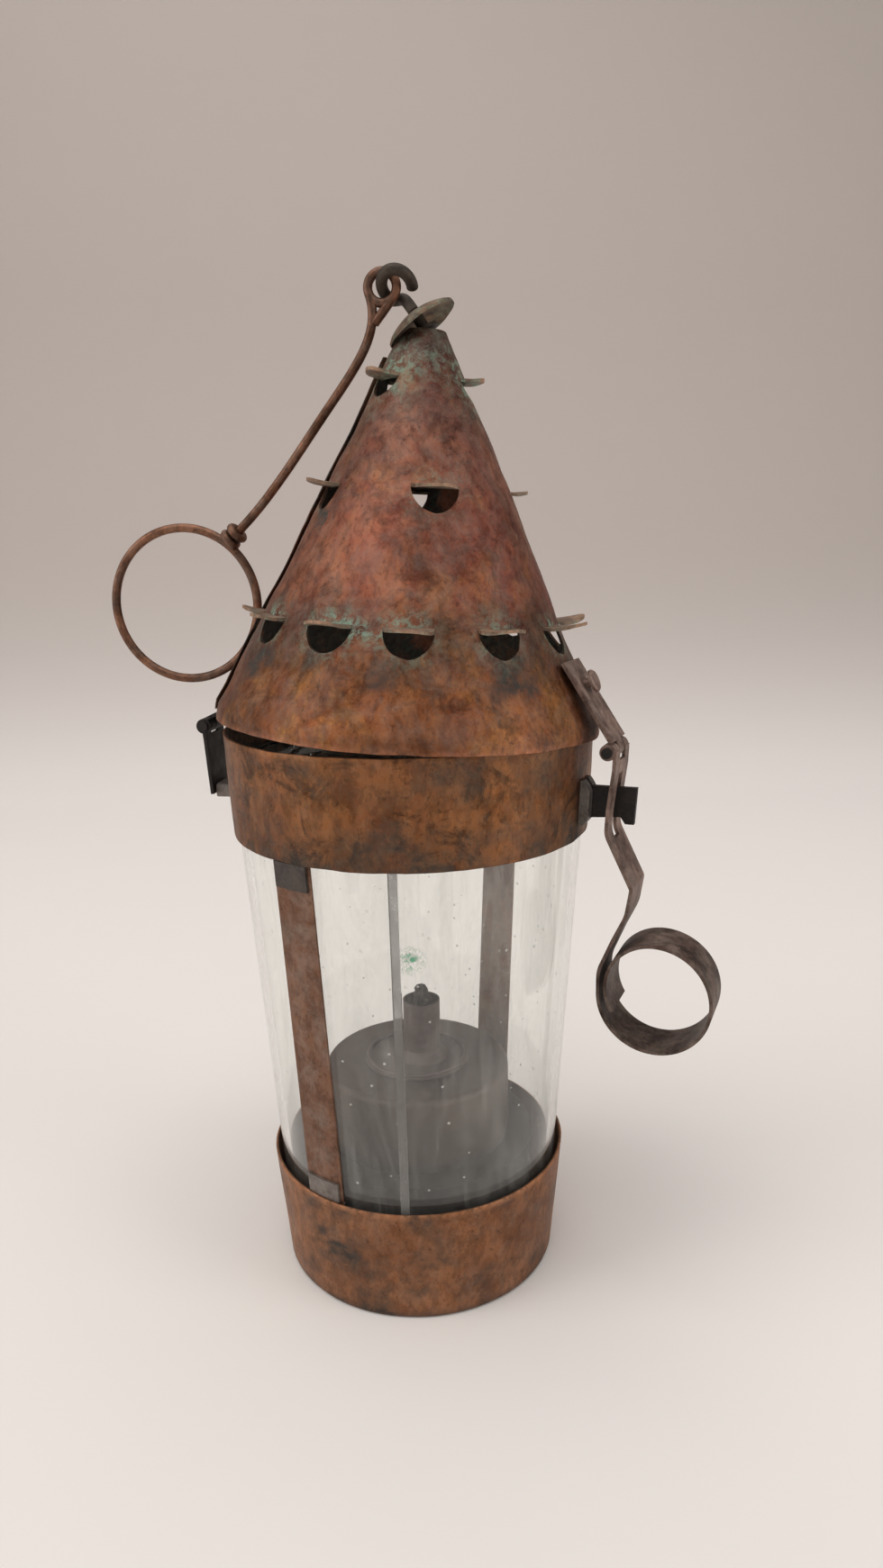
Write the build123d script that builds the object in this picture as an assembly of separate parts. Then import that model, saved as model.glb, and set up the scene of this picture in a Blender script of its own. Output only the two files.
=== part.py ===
"""Hand lantern in copper sheet: a cup base, a tapered glass, an upper band on two struts, a hinged
pierced hood with a hook and hanger, a hasp with a finger loop, and a lift-out wick lamp.

Frame: origin at the centre of the base's underside, +Z up, hinge towards -X, latch towards +X."""

import math
import os

from build123d import *

os.makedirs("parts", exist_ok=True)

# ---- sheet, clearances ----
SHEET = 0.8
STRAP = 0.9
TOUCH = 0.03  # between pieces soldered or resting on each other in one body
REST = 0.4  # between a resting body and what carries it
RUN = 0.08  # radial, a knuckle turning on its pin
SEAT = 0.02  # radial, a knuckle or plate fixed on its pin or rivet

# ---- base cup ----
BASE_R = 40.0
CUP_RIM_R = 43.1
CUP_H = 34.0
FLOOR_Z = 0.0

# ---- glass ----
GLASS_FOOT_R = 38.7
GLASS_TOP_R = 49.25
GLASS_TOP_Z = 150.0
GLASS_T = 2.2
GLASS_SPLIT = 2.2
GLASS_SPLIT_AZ = -85.0

# ---- struts ----
STRUT_W = 12.4
STRUT_T = 0.5
STRUT_BOTTOM_Z = 16.0
STRUT_TOP_Z = 137.0
STRUT_AZ = {"front": -118.0, "rear": 62.0}
SOLDER_T = 0.7

# ---- upper band ----
BAND_BOTTOM_Z = 130.9
BAND_TOP_Z = 159.3
BAND_BOTTOM_R = 49.5
BAND_TOP_R = 50.9

# ---- hood, in its own frame: rim plane at 0, then leant over ----
HOOD_Z = 160.2
HOOD_LEAN = 3.5
HOOD_PROFILE = [(52.5, 0.0), (52.0, 3.4), (38.9, 29.3), (23.4, 62.3), (5.9, 100.3)]
LAP_AZ = 172.0
LAP_SPAN = 8.0
LAP_TOP_Z = 94.3
LAP_T = 0.5
# each row: name, height of the bend line, half width, azimuths, lift of each flap in degrees
LOUVERS = [
    ("upper", 88.1, 4.9, [-134.0, 8.0, 130.0], [9.0, 4.0, 7.0]),
    ("middle", 61.1, 6.0, [-150.0, -69.0, 18.0, 108.0], [7.0, 3.0, 2.0, 6.0]),
    (
        "lower",
        27.7,
        6.2,
        [-168.0, -141.5, -109.6, -80.9, -47.3, -14.3, 20.1, 54.5, 88.9, 123.2, 157.6],
        [5.0, 2.0, 3.0, -2.0, 1.0, 4.0, 3.0, 0.0, 4.0, 1.0, 3.0],
    ),
]

# ---- cap and hook ----
CAP_C = (5.6, 262.4)
CAP_LEAN = -33.0
CAP_R = 9.8
CAP_RISE = 3.0
HOOK_R = 1.5
HOOK_LOOP = (3.9, 5.3)
HOOK_TWIST = math.radians(56.0)
EYE_C = (-4.3, 271.4)
WASHER_R = 3.4

# ---- hanger ----
WIRE_R = 1.2
EYE_R = 3.75
RING_R = 20.8
RING_C = (-62.8, 192.2)
KNOT_ANGLE = 52.0
COIL_R = 1.1

# ---- hinge and latch ----
HINGE_P = (-57.4, 158.7)
LATCH_AZ = -14.0
HASP_P = (58.0, 155.4)
KNUCKLE_R = 2.1
PIN_R = 0.9
LEAF_W = 14.0
LEAF_INSET = 0.12
UNDER_RIM_Z = -1.2
LUG_W = 4.2
LUG_GAP = 0.35
LOOP_C = (71.3, 90.4)
LOOP_R = 14.8
TAIL_R = 12.9
STAPLE_T = 1.6
SLOT_W = 4.2
SLOT_Z = (132.0, 149.2)
RIVET_R = 1.3
RIVET_HEAD_R = 3.0
RIVET_NECK = 1.9

# ---- wick lamp ----
DRUM_R = 33.6
DRUM_TOP_Z = 36.0
FONT_R = 27.1
FONT_TOP_Z = 58.3
TIN = 0.6
FILLER_R = 9.0
BURNER_R = 15.4
TUBE_R = 5.4
TUBE_TOP_Z = 77.0
TUBE_BOTTOM_Z = 50.0
TUBE_OFFSET = 1.6
WICK_R = 3.7
WICK_TOP_Z = 81.6


def lerp_r(z, z0, r0, z1, r1):
    return r0 + (r1 - r0) * (z - z0) / (z1 - z0)


def cup_r(z):
    return lerp_r(z, 0.0, BASE_R, CUP_H, CUP_RIM_R)


def glass_r(z):
    return lerp_r(z, FLOOR_Z + SHEET, GLASS_FOOT_R, GLASS_TOP_Z, GLASS_TOP_R)


def band_r(z):
    return lerp_r(z, BAND_BOTTOM_Z, BAND_BOTTOM_R, BAND_TOP_Z, BAND_TOP_R)


def turned(points, angle=360.0, start=0.0):
    """Revolves a closed outline of (radius, height) points about Z."""
    face = make_face(Polyline(*[(r, 0, z) for r, z in points], close=True))
    return Rot(0, 0, start) * revolve(face, Axis.Z, angle)


def shell_between(radius, inner, outer, z0, z1):
    """A coaxial skin that follows radius(z), from +inner to +outer."""
    return turned(
        [
            (radius(z0) + inner, z0),
            (radius(z0) + outer, z0),
            (radius(z1) + outer, z1),
            (radius(z1) + inner, z1),
        ]
    )


def radial_bar(azimuth, width, length, height, z_mid):
    """A bar from the axis outwards, for cutting a patch out of a skin."""
    return Rot(0, 0, azimuth) * Pos(length / 2, 0, z_mid) * Box(length, width, height)


def strip(points, radii, width, thickness, tail=None):
    """A strap of constant thickness in the XZ plane, bent round each inner point, as wide as width along Y.
    tail adds arcs (centre, radius, start angle, swept angle) after the last point, each tangent to the last."""
    pts = [Vector(x, 0, z) for x, z in points]
    left, right = [], []
    half = thickness / 2
    here = pts[0]
    for i in range(1, len(pts)):
        way = (pts[i] - pts[i - 1]).normalized()
        side = Vector(-way.Z, 0, way.X)
        stop = pts[i]
        if i < len(pts) - 1:
            after = (pts[i + 1] - pts[i]).normalized()
            turn = math.atan2(way.X * after.Z - way.Z * after.X, way.dot(after))
            cut = radii[i - 1] * math.tan(abs(turn) / 2)
            stop = pts[i] - way * cut
        left.append(Line(here + side * half, stop + side * half))
        right.append(Line(here - side * half, stop - side * half))
        if i < len(pts) - 1:
            sign = 1 if turn > 0 else -1
            centre = stop + side * (sign * radii[i - 1])
            first = math.atan2(stop.Z - centre.Z, stop.X - centre.X)
            here = pts[i] + after * cut
            for bucket, shift in ((left, -sign * half), (right, sign * half)):
                bucket.append(arc_xz(centre, radii[i - 1] + shift, first, turn))
    for (cx, cz), radius, start, swept in tail or []:
        centre = Vector(cx, 0, cz)
        sign = 1 if swept > 0 else -1
        for bucket, shift in ((left, -sign * half), (right, sign * half)):
            bucket.append(arc_xz(centre, radius + shift, math.radians(start), math.radians(swept)))
    ends = [Line(left[0] @ 0, right[0] @ 0), Line(left[-1] @ 1, right[-1] @ 1)]
    face = make_face(Wire(left + right + ends))
    return extrude(face, width / 2, dir=(0, 1, 0), both=True)


def arc_xz(centre, radius, start, swept):
    """An arc in the XZ plane about centre; angles in radians, from +X towards +Z."""
    at = [centre + Vector(math.cos(a), 0, math.sin(a)) * radius for a in (start, start + swept / 2, start + swept)]
    return ThreePointArc(*at)


def rod(path, radius):
    """A round wire along a path."""
    start = Plane(origin=path @ 0, z_dir=path % 0)
    return sweep(start * Circle(radius), path)


def drum_y(x, z, radius, y0, y1):
    """A cylinder along Y."""
    return Pos(x, (y0 + y1) / 2, z) * Rot(90, 0, 0) * Cylinder(radius, abs(y1 - y0))


def leaned(shape):
    """From the hood's own frame to the row frame."""
    return Pos(0, 0, HOOD_Z) * Rot(0, HOOD_LEAN, 0) * shape


def leaned_back(x, z):
    """A row point in the XZ plane, in the hood's own frame."""
    a = math.radians(HOOD_LEAN)
    up = z - HOOD_Z
    return x * math.cos(a) - up * math.sin(a), x * math.sin(a) + up * math.cos(a)


parts = {}

# ---- base ----
cup_top_in = cup_r(CUP_H) - SHEET
parts["base_wall"] = turned([(cup_r(0) - SHEET, 0), (cup_r(0), 0), (cup_r(CUP_H), CUP_H), (cup_top_in, CUP_H)])
plate_r = cup_r(FLOOR_Z) - SHEET - TOUCH
parts["base_plate"] = turned([(0, FLOOR_Z), (plate_r, FLOOR_Z), (plate_r, FLOOR_Z + SHEET), (0, FLOOR_Z + SHEET)])

# ---- glass with one lengthwise split ----
glass = shell_between(glass_r, -GLASS_T, 0.0, FLOOR_Z + SHEET + TOUCH, GLASS_TOP_Z)
split = radial_bar(GLASS_SPLIT_AZ, GLASS_SPLIT, 2 * GLASS_TOP_R, 2 * GLASS_TOP_Z, GLASS_TOP_Z)
parts["glass_chimney"] = glass - split
seam = radial_bar(GLASS_SPLIT_AZ, GLASS_SPLIT - 2 * TOUCH, 2 * GLASS_TOP_R, 2 * GLASS_TOP_Z, GLASS_TOP_Z)
parts["glass_seam"] = glass & seam

# ---- struts outside the glass, tucked into the cup and the band, with solder at their ends ----
strut_skin = shell_between(glass_r, TOUCH, TOUCH + STRUT_T, STRUT_BOTTOM_Z, STRUT_TOP_Z)
pad_in = STRUT_T + 2 * TOUCH
pad_skins = {
    "foot": shell_between(glass_r, pad_in, pad_in + SOLDER_T, CUP_H + TOUCH, CUP_H + 5.5),
    "top": shell_between(glass_r, pad_in, pad_in + SOLDER_T, BAND_BOTTOM_Z - 7.0, BAND_BOTTOM_Z - TOUCH),
}
for where, azimuth in STRUT_AZ.items():
    parts[f"strut_{where}"] = strut_skin & radial_bar(azimuth, STRUT_W, 80.0, 400.0, 0.0)
    for end, skin in pad_skins.items():
        parts[f"solder_{where}_{end}"] = skin & radial_bar(azimuth, STRUT_W - 1.6, 80.0, 400.0, 0.0)

# ---- upper band ----
parts["upper_band"] = shell_between(band_r, -SHEET, 0.0, BAND_BOTTOM_Z, BAND_TOP_Z)

# ---- hood cone, its louvers, its lap seam ----
slope_in = [(r - SHEET, z) for r, z in HOOD_PROFILE]
cone = turned(HOOD_PROFILE + slope_in[::-1])
cone_core = turned([(r + TOUCH, z) for r, z in HOOD_PROFILE] + [(0, HOOD_PROFILE[-1][1]), (0, 0)])


def cone_radius(z):
    for (r0, z0), (r1, z1) in zip(HOOD_PROFILE, HOOD_PROFILE[1:]):
        if z0 <= z <= z1:
            return lerp_r(z, z0, r0, z1, r1)
    return HOOD_PROFILE[-1][0]


def half_disc(radius):
    """A half disc in XY: flat edge on Y, round side towards +X."""
    return Circle(radius) & Pos(radius, 0) * Rectangle(2 * radius, 2 * radius)


for row, bend_z, half_w, azimuths, lifts in LOUVERS:
    wall_r = cone_radius(bend_z)
    flaps = []
    for azimuth, lift in zip(azimuths, lifts):
        # the hole: the flat edge of the half disc is up, on the bend line
        blank = Plane(origin=(wall_r - 12, 0, bend_z), x_dir=(0, 0, -1), z_dir=(1, 0, 0)) * half_disc(half_w)
        cone -= Rot(0, 0, azimuth) * extrude(blank, 24)
        reach = Pos(wall_r - 1.2, 0, bend_z + TOUCH) * Rot(0, -lift, 0) * Pos(1.0, 0, 0)
        plate = Rectangle(2.2, 2 * half_w) + Pos(1.0, 0) * half_disc(half_w)
        flap = Rot(0, 0, azimuth) * reach * extrude(plate, SHEET)
        flaps.append(flap - cone_core)
    parts[f"louver_flaps_{row}"] = leaned(Compound(children=[f.solid() for f in flaps]))

lap_line = HOOD_PROFILE[:-1] + [(cone_radius(LAP_TOP_Z), LAP_TOP_Z)]
lap_out = [(r + TOUCH + LAP_T, z) for r, z in lap_line]
lap_in = [(r + TOUCH, z) for r, z in lap_line]
parts["hood_lap"] = leaned(turned(lap_out + lap_in[::-1], LAP_SPAN, LAP_AZ - LAP_SPAN / 2))

# ---- cap: a dished disc on the cone's cut end ----
cap_place = Pos(CAP_C[0], 0, CAP_C[1]) * Rot(0, CAP_LEAN, 0)
dome_r = (CAP_R**2 + CAP_RISE**2) / (2 * CAP_RISE)
dome_c = Pos(0, 0, CAP_RISE - dome_r)
dish = (dome_c * Sphere(dome_r)) - (dome_c * Sphere(dome_r - SHEET))
dish &= Pos(0, 0, CAP_RISE - 2.5) * Cylinder(CAP_R, 8.0)
dish -= Cylinder(HOOK_R + SEAT, 20.0)
parts["cap_disc"] = cap_place * dish
above = Pos(0, 0, 17.0) * Cylinder(30.0, 40.0) - dome_c * Sphere(dome_r - SHEET - TOUCH)

# ---- hook: up through the cap, behind, round to the front and down to a cut tip ----
lean = math.radians(CAP_LEAN)
cap_up = Vector(math.sin(lean), 0, math.cos(lean))
cap_mid = Vector(CAP_C[0], 0, CAP_C[1])
hook_points = [cap_mid + cap_up * 3.4, Vector(2.0, 1.5, 267.6), Vector(0.2, 3.1, 268.9)]
for turn_deg in range(-52, 200, 14):
    around = math.radians(turn_deg)
    run = HOOK_LOOP[1] * math.sin(around)
    tip_x = EYE_C[0] + HOOK_LOOP[0] * (1 - math.cos(around))
    hook_points.append(Vector(tip_x, -run * math.sin(HOOK_TWIST), EYE_C[1] + run * math.cos(HOOK_TWIST)))
hook_path = Spline(hook_points)
stem = Line(cap_mid - cap_up * 3.6, cap_mid + cap_up * 3.4)
parts["hook_wire"] = rod(stem, HOOK_R) + rod(hook_path, HOOK_R)
washer = Pos(0, 0, -2.2) * (Cylinder(WASHER_R, SHEET) - Cylinder(HOOK_R + SEAT, 2 * SHEET))
parts["hook_washer"] = cap_place * washer

# ---- hanger: one wire bent to an eye, a shank and a ring that is wrapped round the shank ----
eye_x, eye_z = EYE_C
ring_x, ring_z = RING_C
knot = math.radians(KNOT_ANGLE)
knot_v = Vector(ring_x + RING_R * math.cos(knot), 0, ring_z + RING_R * math.sin(knot))
low_left = math.radians(200)
shank = Spline(
    [
        Vector(eye_x + EYE_R * math.cos(low_left), 0, eye_z + EYE_R * math.sin(low_left)),
        Vector(eye_x - 3.0, 0, eye_z - 9.0),
        Vector(-12.3, 0, 252.2),
        Vector(-20.0, 0, 242.2),
        Vector(-30.2, 0, 229.2),
        Vector(-44.4, 0, 213.4),
        knot_v,
    ],
)
low_right = math.radians(-30)
throat = Spline(
    [
        Vector(eye_x + EYE_R * math.cos(low_right), 0, eye_z + EYE_R * math.sin(low_right)),
        Vector(eye_x + 0.6, 0, eye_z - 5.2),
        Vector(eye_x - 2.3, 0, eye_z - 8.6),
    ],
)
hanger = rod(shank, WIRE_R) + rod(throat, WIRE_R)
hanger += Pos(eye_x, 0, eye_z) * Rot(90, 0, 0) * Torus(EYE_R, WIRE_R)
hanger += Pos(ring_x, 0, ring_z) * Rot(90, 0, 0) * Torus(RING_R, WIRE_R)
for along in (0.945, 0.978):
    coil_plane = Plane(origin=shank @ along, z_dir=shank % along)
    hanger += coil_plane * Rot(7, 0, 0) * Torus(1.7 * WIRE_R, COIL_R)
parts["hanger_wire"] = hanger

# ---- hinge at -X: lower leaf on the band, upper leaf tucked inside the hood ----
hx, hz = HINGE_P
lug_mid = (LEAF_W - 2 * LUG_W) / 2 - LUG_GAP
lug_out = LEAF_W / 2
gap_cut = Pos(hx, 0, hz) * Box(2 * KNUCKLE_R + 1.2, 2 * (lug_mid + LUG_GAP), 2 * KNUCKLE_R + 1.2)
side_cuts = [
    Pos(hx, s * (lug_mid + LUG_W), hz) * Box(2 * KNUCKLE_R + 1.2, 2 * LUG_W, 2 * KNUCKLE_R + 1.2)
    for s in (1, -1)
]
leaf_foot = (-56.1, 139.2)
lower = strip([(hx, hz - 1.6), (hx + 0.3, hz - 5.0), (hx + 0.7, hz - 11.0), leaf_foot], [3.0, 12.0], LEAF_W, STRAP)
lower += drum_y(hx, hz, KNUCKLE_R, -lug_out, lug_out)
lower -= gap_cut
lower -= drum_y(hx, hz, PIN_R + SEAT, -LEAF_W, LEAF_W)
band_core = shell_between(band_r, -8.0, TOUCH, BAND_BOTTOM_Z - 2, BAND_TOP_Z + 1)
block = Pos(-(band_r(leaf_foot[1]) + 2.4), 0, leaf_foot[1] + 0.6) * Box(8.0, LEAF_W - 4.0, 4.0)
block = fillet(block.edges().filter_by(Axis.X), 1.2)
leaf_face = leaf_foot[0] + STRAP / 2 + TOUCH
parts["hinge_solder"] = block - band_core - Pos(leaf_face - 4.0, 0, leaf_foot[1]) * Box(8.0, 20.0, 20.0)
inner_line = [leaned_back(hx - 0.9, hz + 1.3), (-HOOD_PROFILE[0][0] - 1.1, UNDER_RIM_Z - 0.05)]
skirt_top = Vector(HOOD_PROFILE[1][0], 0, HOOD_PROFILE[1][1])
rise = (Vector(HOOD_PROFILE[2][0], 0, HOOD_PROFILE[2][1]) - skirt_top).normalized()
rise_left = Vector(-rise.X, 0, rise.Z)
inset = STRAP / 2 + LEAF_INSET
bend = Vector(-skirt_top.X + SHEET, 0, skirt_top.Z) + Vector(rise.Z, 0, rise.X) * inset
leaf_stop = bend + rise_left * 13.0
under_rim = (-HOOD_PROFILE[0][0] + SHEET + inset, UNDER_RIM_Z)
inner_line += [under_rim, (bend.X, bend.Z), (leaf_stop.X, leaf_stop.Z)]
upper = leaned(strip(inner_line, [1.2, 1.2, 3.0], LEAF_W, STRAP))
upper += drum_y(hx, hz, KNUCKLE_R, -lug_mid, lug_mid)
for cut in side_cuts:
    upper -= cut
upper -= drum_y(hx, hz, PIN_R + RUN, -LEAF_W, LEAF_W)
cone_void = turned([(r - SHEET - TOUCH, z) for r, z in HOOD_PROFILE] + [(0, HOOD_PROFILE[-1][1]), (0, 0)])
upper -= leaned(cone_core - cone_void)
parts["hinge_hood_leaf"] = upper
parts["hinge_band_leaf"] = lower
pin = drum_y(hx, hz, PIN_R, -lug_out - 0.6, lug_out + 0.6)
for s in (1, -1):
    pin += drum_y(hx, hz, PIN_R + 0.5, s * (lug_out + 0.1), s * (lug_out + 0.9))
parts["hinge_pin"] = pin


def rivet(place, grip, head_r):
    """A rivet along the place's Z: grip is (inner face, outer face) of what it holds."""
    shank_ = Pos(0, 0, (grip[0] + grip[1]) / 2) * Cylinder(RIVET_R - SEAT, grip[1] - grip[0] + 1.0)
    outer = Pos(0, 0, grip[1] + TOUCH + 0.55) * Cylinder(head_r, 1.1)
    outer = chamfer(outer.edges().group_by(Axis.Z)[-1], 0.45)
    inner = Pos(0, 0, grip[0] - TOUCH - 0.4) * Cylinder(head_r - 0.6, 0.8)
    return place * (shank_ + outer + inner)


# rivet through the hood and its hinge leaf
normal = Vector(rise.Z, 0, -rise.X)
wall_mid = skirt_top + rise * 7.0
left_place = Rot(0, 0, 180) * Plane(origin=wall_mid, z_dir=normal).location
bore = left_place * Cylinder(RIVET_R, 12.0)
parts["hinge_hood_leaf"] -= leaned(bore)
cone -= bore
parts["hinge_hood_rivet"] = leaned(rivet(left_place, (-SHEET - STRAP - 2 * LEAF_INSET, 0.0), 2.0))

# ---- latch: hood leaf, hasp pin and hasp with its finger loop ----
px, pz = HASP_P
latch = math.radians(LATCH_AZ)
latch_turn = Rot(0, 0, LATCH_AZ)
hood_x, hood_z = leaned_back(px * math.cos(latch), pz)
lx, lz = hood_x * math.cos(latch) + px * math.sin(latch) ** 2, hood_z
leaf_top = skirt_top + rise * 18.0 + normal * (STRAP / 2 + 0.6)
leaf_low = Vector(lx + 0.7, 0, lz + 2.3)
keeper = strip([(leaf_top.X, leaf_top.Z), (leaf_low.X, leaf_low.Z), (lx + 1.3, lz + 0.9)], [1.2], LEAF_W, STRAP)
keeper = leaned(latch_turn * keeper - cone_core) + latch_turn * drum_y(px, pz, KNUCKLE_R, -lug_mid, lug_mid)
for s in (1, -1):
    cut = Pos(px, s * (lug_mid + LUG_W), pz) * Box(2 * KNUCKLE_R + 1.0, 2 * LUG_W, 2 * KNUCKLE_R + 1.0)
    keeper -= latch_turn * cut
keeper -= latch_turn * drum_y(px, pz, PIN_R + SEAT, -LEAF_W, LEAF_W)
rivet_mid = skirt_top + rise * 11.0
leaf_way = leaf_low - leaf_top
to_top = leaf_top - rivet_mid
stand = (to_top.X * leaf_way.Z - to_top.Z * leaf_way.X) / (normal.X * leaf_way.Z - normal.Z * leaf_way.X)
right_place = latch_turn * Plane(origin=rivet_mid, z_dir=normal).location
bore = right_place * Pos(0, 0, 3.0) * Cylinder(RIVET_R, 14.0)
keeper -= leaned(bore)
cone -= bore
parts["hasp_hood_leaf"] = keeper
parts["hasp_leaf_rivet"] = leaned(rivet(right_place, (-SHEET, stand + STRAP / 2 + RIVET_NECK), RIVET_HEAD_R))
pin = drum_y(px, pz, PIN_R, -lug_out - 0.6, lug_out + 0.6)
for s in (1, -1):
    pin += drum_y(px, pz, PIN_R + 0.5, s * (lug_out + 0.35), s * (lug_out + 1.1))
parts["hasp_pin"] = latch_turn * pin

loop_x, loop_z = LOOP_C
hasp = strip(
    [
        (px + 1.9, pz + 0.3),
        (px + 1.7, pz - 4.4),
        (px + 0.3, 140.5),
        (px - 0.1, 134.0),
        (64.8, 119.9),
        (63.6, 112.5),
        (60.4, 105.8),
        (loop_x - LOOP_R, loop_z + 6.1),
        (loop_x - LOOP_R, loop_z),
    ],
    [4.0, 9.0, 6.0, 1.6, 12.0, 16.0, 10.0],
    LEAF_W,
    STRAP,
    tail=[
        (LOOP_C, LOOP_R, 180.0, 270.0),
        ((loop_x, loop_z + LOOP_R - TAIL_R), TAIL_R, 90.0, 122.0),
    ],
)
hasp += drum_y(px, pz, KNUCKLE_R, -lug_out, lug_out)
hasp -= Pos(px, 0, pz) * Box(2 * KNUCKLE_R + 2.4, 2 * (lug_mid + LUG_GAP), 2 * KNUCKLE_R + 1.0)
hasp -= drum_y(px, pz, PIN_R + RUN, -LEAF_W, LEAF_W)
hasp -= Pos(px, 0, (SLOT_Z[0] + SLOT_Z[1]) / 2) * Box(16, SLOT_W, SLOT_Z[1] - SLOT_Z[0])
parts["hasp_strap"] = latch_turn * hasp

# ---- staple: a plate on edge with a taller outer end, in a lump of solder ----
root_x = band_r(141.0) + TOUCH
plate = Polyline(
    (root_x - 1.0, 0, 136.4),
    (60.2, 0, 137.4),
    (61.4, 0, 135.6),
    (63.7, 0, 135.6),
    (64.4, 0, 145.4),
    (root_x - 1.0, 0, 145.2),
    close=True,
)
staple = extrude(make_face(plate), STAPLE_T / 2, dir=(0, 1, 0), both=True)
parts["staple_plate"] = latch_turn * staple - band_core
lump = shell_between(band_r, TOUCH, 2.6, 135.0, 147.0) & radial_bar(0.0, 7.0, 80.0, 400.0, 0.0)
lump &= Pos(root_x - 6.0, 0, 141.0) * Rot(90, 0, 0) * Cylinder(9.2, 20.0)
lump -= Pos(60.0, 0, 141.0) * Box(30.0, STAPLE_T + 2 * SEAT, 30.0)
parts["staple_solder"] = latch_turn * lump

above_cone = cap_place * above
parts["hood_cone"] = leaned(cone) - above_cone
parts["hood_lap"] = parts["hood_lap"] - above_cone

# ---- wick lamp ----
drum_z = FLOOR_Z + SHEET + REST
parts["tank_drum"] = turned(
    [
        (0, drum_z),
        (DRUM_R, drum_z),
        (DRUM_R, DRUM_TOP_Z),
        (DRUM_R - TIN, DRUM_TOP_Z),
        (DRUM_R - TIN, drum_z + TIN),
        (0, drum_z + TIN),
    ]
)
shoulder_z = DRUM_TOP_Z + TOUCH
shoulder = Pos(0, 0, shoulder_z + TIN / 2) * (Cylinder(DRUM_R + 0.5, TIN) - Cylinder(FONT_R - 1.5, 2 * TIN))
parts["tank_shoulder"] = shoulder
font_z = shoulder_z + TIN + TOUCH
font = Pos(0, 0, (font_z + FONT_TOP_Z) / 2) * Cylinder(FONT_R, FONT_TOP_Z - font_z)
font = fillet(font.edges().group_by(Axis.Z)[-1], 1.6)
hollow = Pos(0, 0, (font_z + FONT_TOP_Z) / 2 - TIN) * Cylinder(FONT_R - TIN, FONT_TOP_Z - font_z)
hollow = fillet(hollow.edges().group_by(Axis.Z)[-1], 1.0)
parts["tank_font"] = font - hollow - Pos(0, 0, FONT_TOP_Z) * Cylinder(FILLER_R, 8.0)

plate_z = FONT_TOP_Z + REST
disc = Pos(0, 0, plate_z + SHEET / 2) * Cylinder(BURNER_R, SHEET)
disc = chamfer(disc.edges().group_by(Axis.Z)[-1], 0.25)
parts["burner_plate"] = disc - Pos(TUBE_OFFSET, 0, plate_z) * Cylinder(TUBE_R + SEAT, 8.0)
tube = Cylinder(TUBE_R, TUBE_TOP_Z - TUBE_BOTTOM_Z) - Cylinder(TUBE_R - TIN, 60.0)
parts["wick_tube"] = Pos(TUBE_OFFSET, 0, (TUBE_TOP_Z + TUBE_BOTTOM_Z) / 2) * tube
wick_z = TUBE_BOTTOM_Z - 6.0
wick = Pos(TUBE_OFFSET, 0, (WICK_TOP_Z + wick_z) / 2) * Cylinder(WICK_R, WICK_TOP_Z - wick_z)
parts["wick"] = chamfer(wick.edges().group_by(Axis.Z)[-1], 1.2)

for node, shape in parts.items():
    export_step(shape, f"parts/{node}.step")
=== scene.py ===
"""Looks of the copper hand lantern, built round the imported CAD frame. Metres, the row's frame."""

import math
import random

import bmesh
import bpy
import numpy as np
from mathutils import Matrix, Vector, noise


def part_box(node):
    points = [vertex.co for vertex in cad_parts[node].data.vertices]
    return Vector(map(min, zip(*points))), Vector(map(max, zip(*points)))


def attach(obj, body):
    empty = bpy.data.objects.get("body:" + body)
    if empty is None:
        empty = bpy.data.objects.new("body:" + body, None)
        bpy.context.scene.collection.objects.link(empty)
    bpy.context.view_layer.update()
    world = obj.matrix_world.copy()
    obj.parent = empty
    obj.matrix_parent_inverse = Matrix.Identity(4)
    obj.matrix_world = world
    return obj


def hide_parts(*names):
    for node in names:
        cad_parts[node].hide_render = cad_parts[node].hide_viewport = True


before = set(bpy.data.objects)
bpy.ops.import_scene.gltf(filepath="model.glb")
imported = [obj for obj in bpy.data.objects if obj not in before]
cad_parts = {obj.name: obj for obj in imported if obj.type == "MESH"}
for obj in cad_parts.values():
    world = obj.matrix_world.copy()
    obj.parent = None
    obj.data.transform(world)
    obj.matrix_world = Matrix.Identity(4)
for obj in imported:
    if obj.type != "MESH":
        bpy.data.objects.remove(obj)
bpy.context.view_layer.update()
MM = 0.001

# sizes shared with the CAD, in millimetres
SHEET = 0.8
HOOD_Z, HOOD_LEAN = 160.2, math.radians(3.5)
HOOD_PROFILE = [(52.5, 0.0), (52.0, 3.4), (38.9, 29.3), (23.4, 62.3), (5.9, 100.3)]
LOUVERS = [
    (88.1, 4.9, [-134.0, 8.0, 130.0], [9.0, 4.0, 7.0]),
    (61.1, 6.0, [-150.0, -69.0, 18.0, 108.0], [7.0, 3.0, 2.0, 6.0]),
    (
        27.7,
        6.2,
        [-168.0, -141.5, -109.6, -80.9, -47.3, -14.3, 20.1, 54.5, 88.9, 123.2, 157.6],
        [5.0, 2.0, 3.0, -2.0, 1.0, 4.0, 3.0, 0.0, 4.0, 1.0, 3.0],
    ),
]
CAP_C, CAP_LEAN, CAP_R, CAP_RISE = (5.6, 262.4), math.radians(-33.0), 9.8, 3.0
BAND = [(130.9, 49.5), (159.3, 50.9)]
CUP = [(0.0, 40.0), (34.0, 43.1)]
GLASS = [(0.83, 38.7), (150.0, 49.25)]
GLASS_T, GLASS_SPLIT, GLASS_SPLIT_AZ = 2.2, 2.2, math.radians(-85.0)


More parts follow.
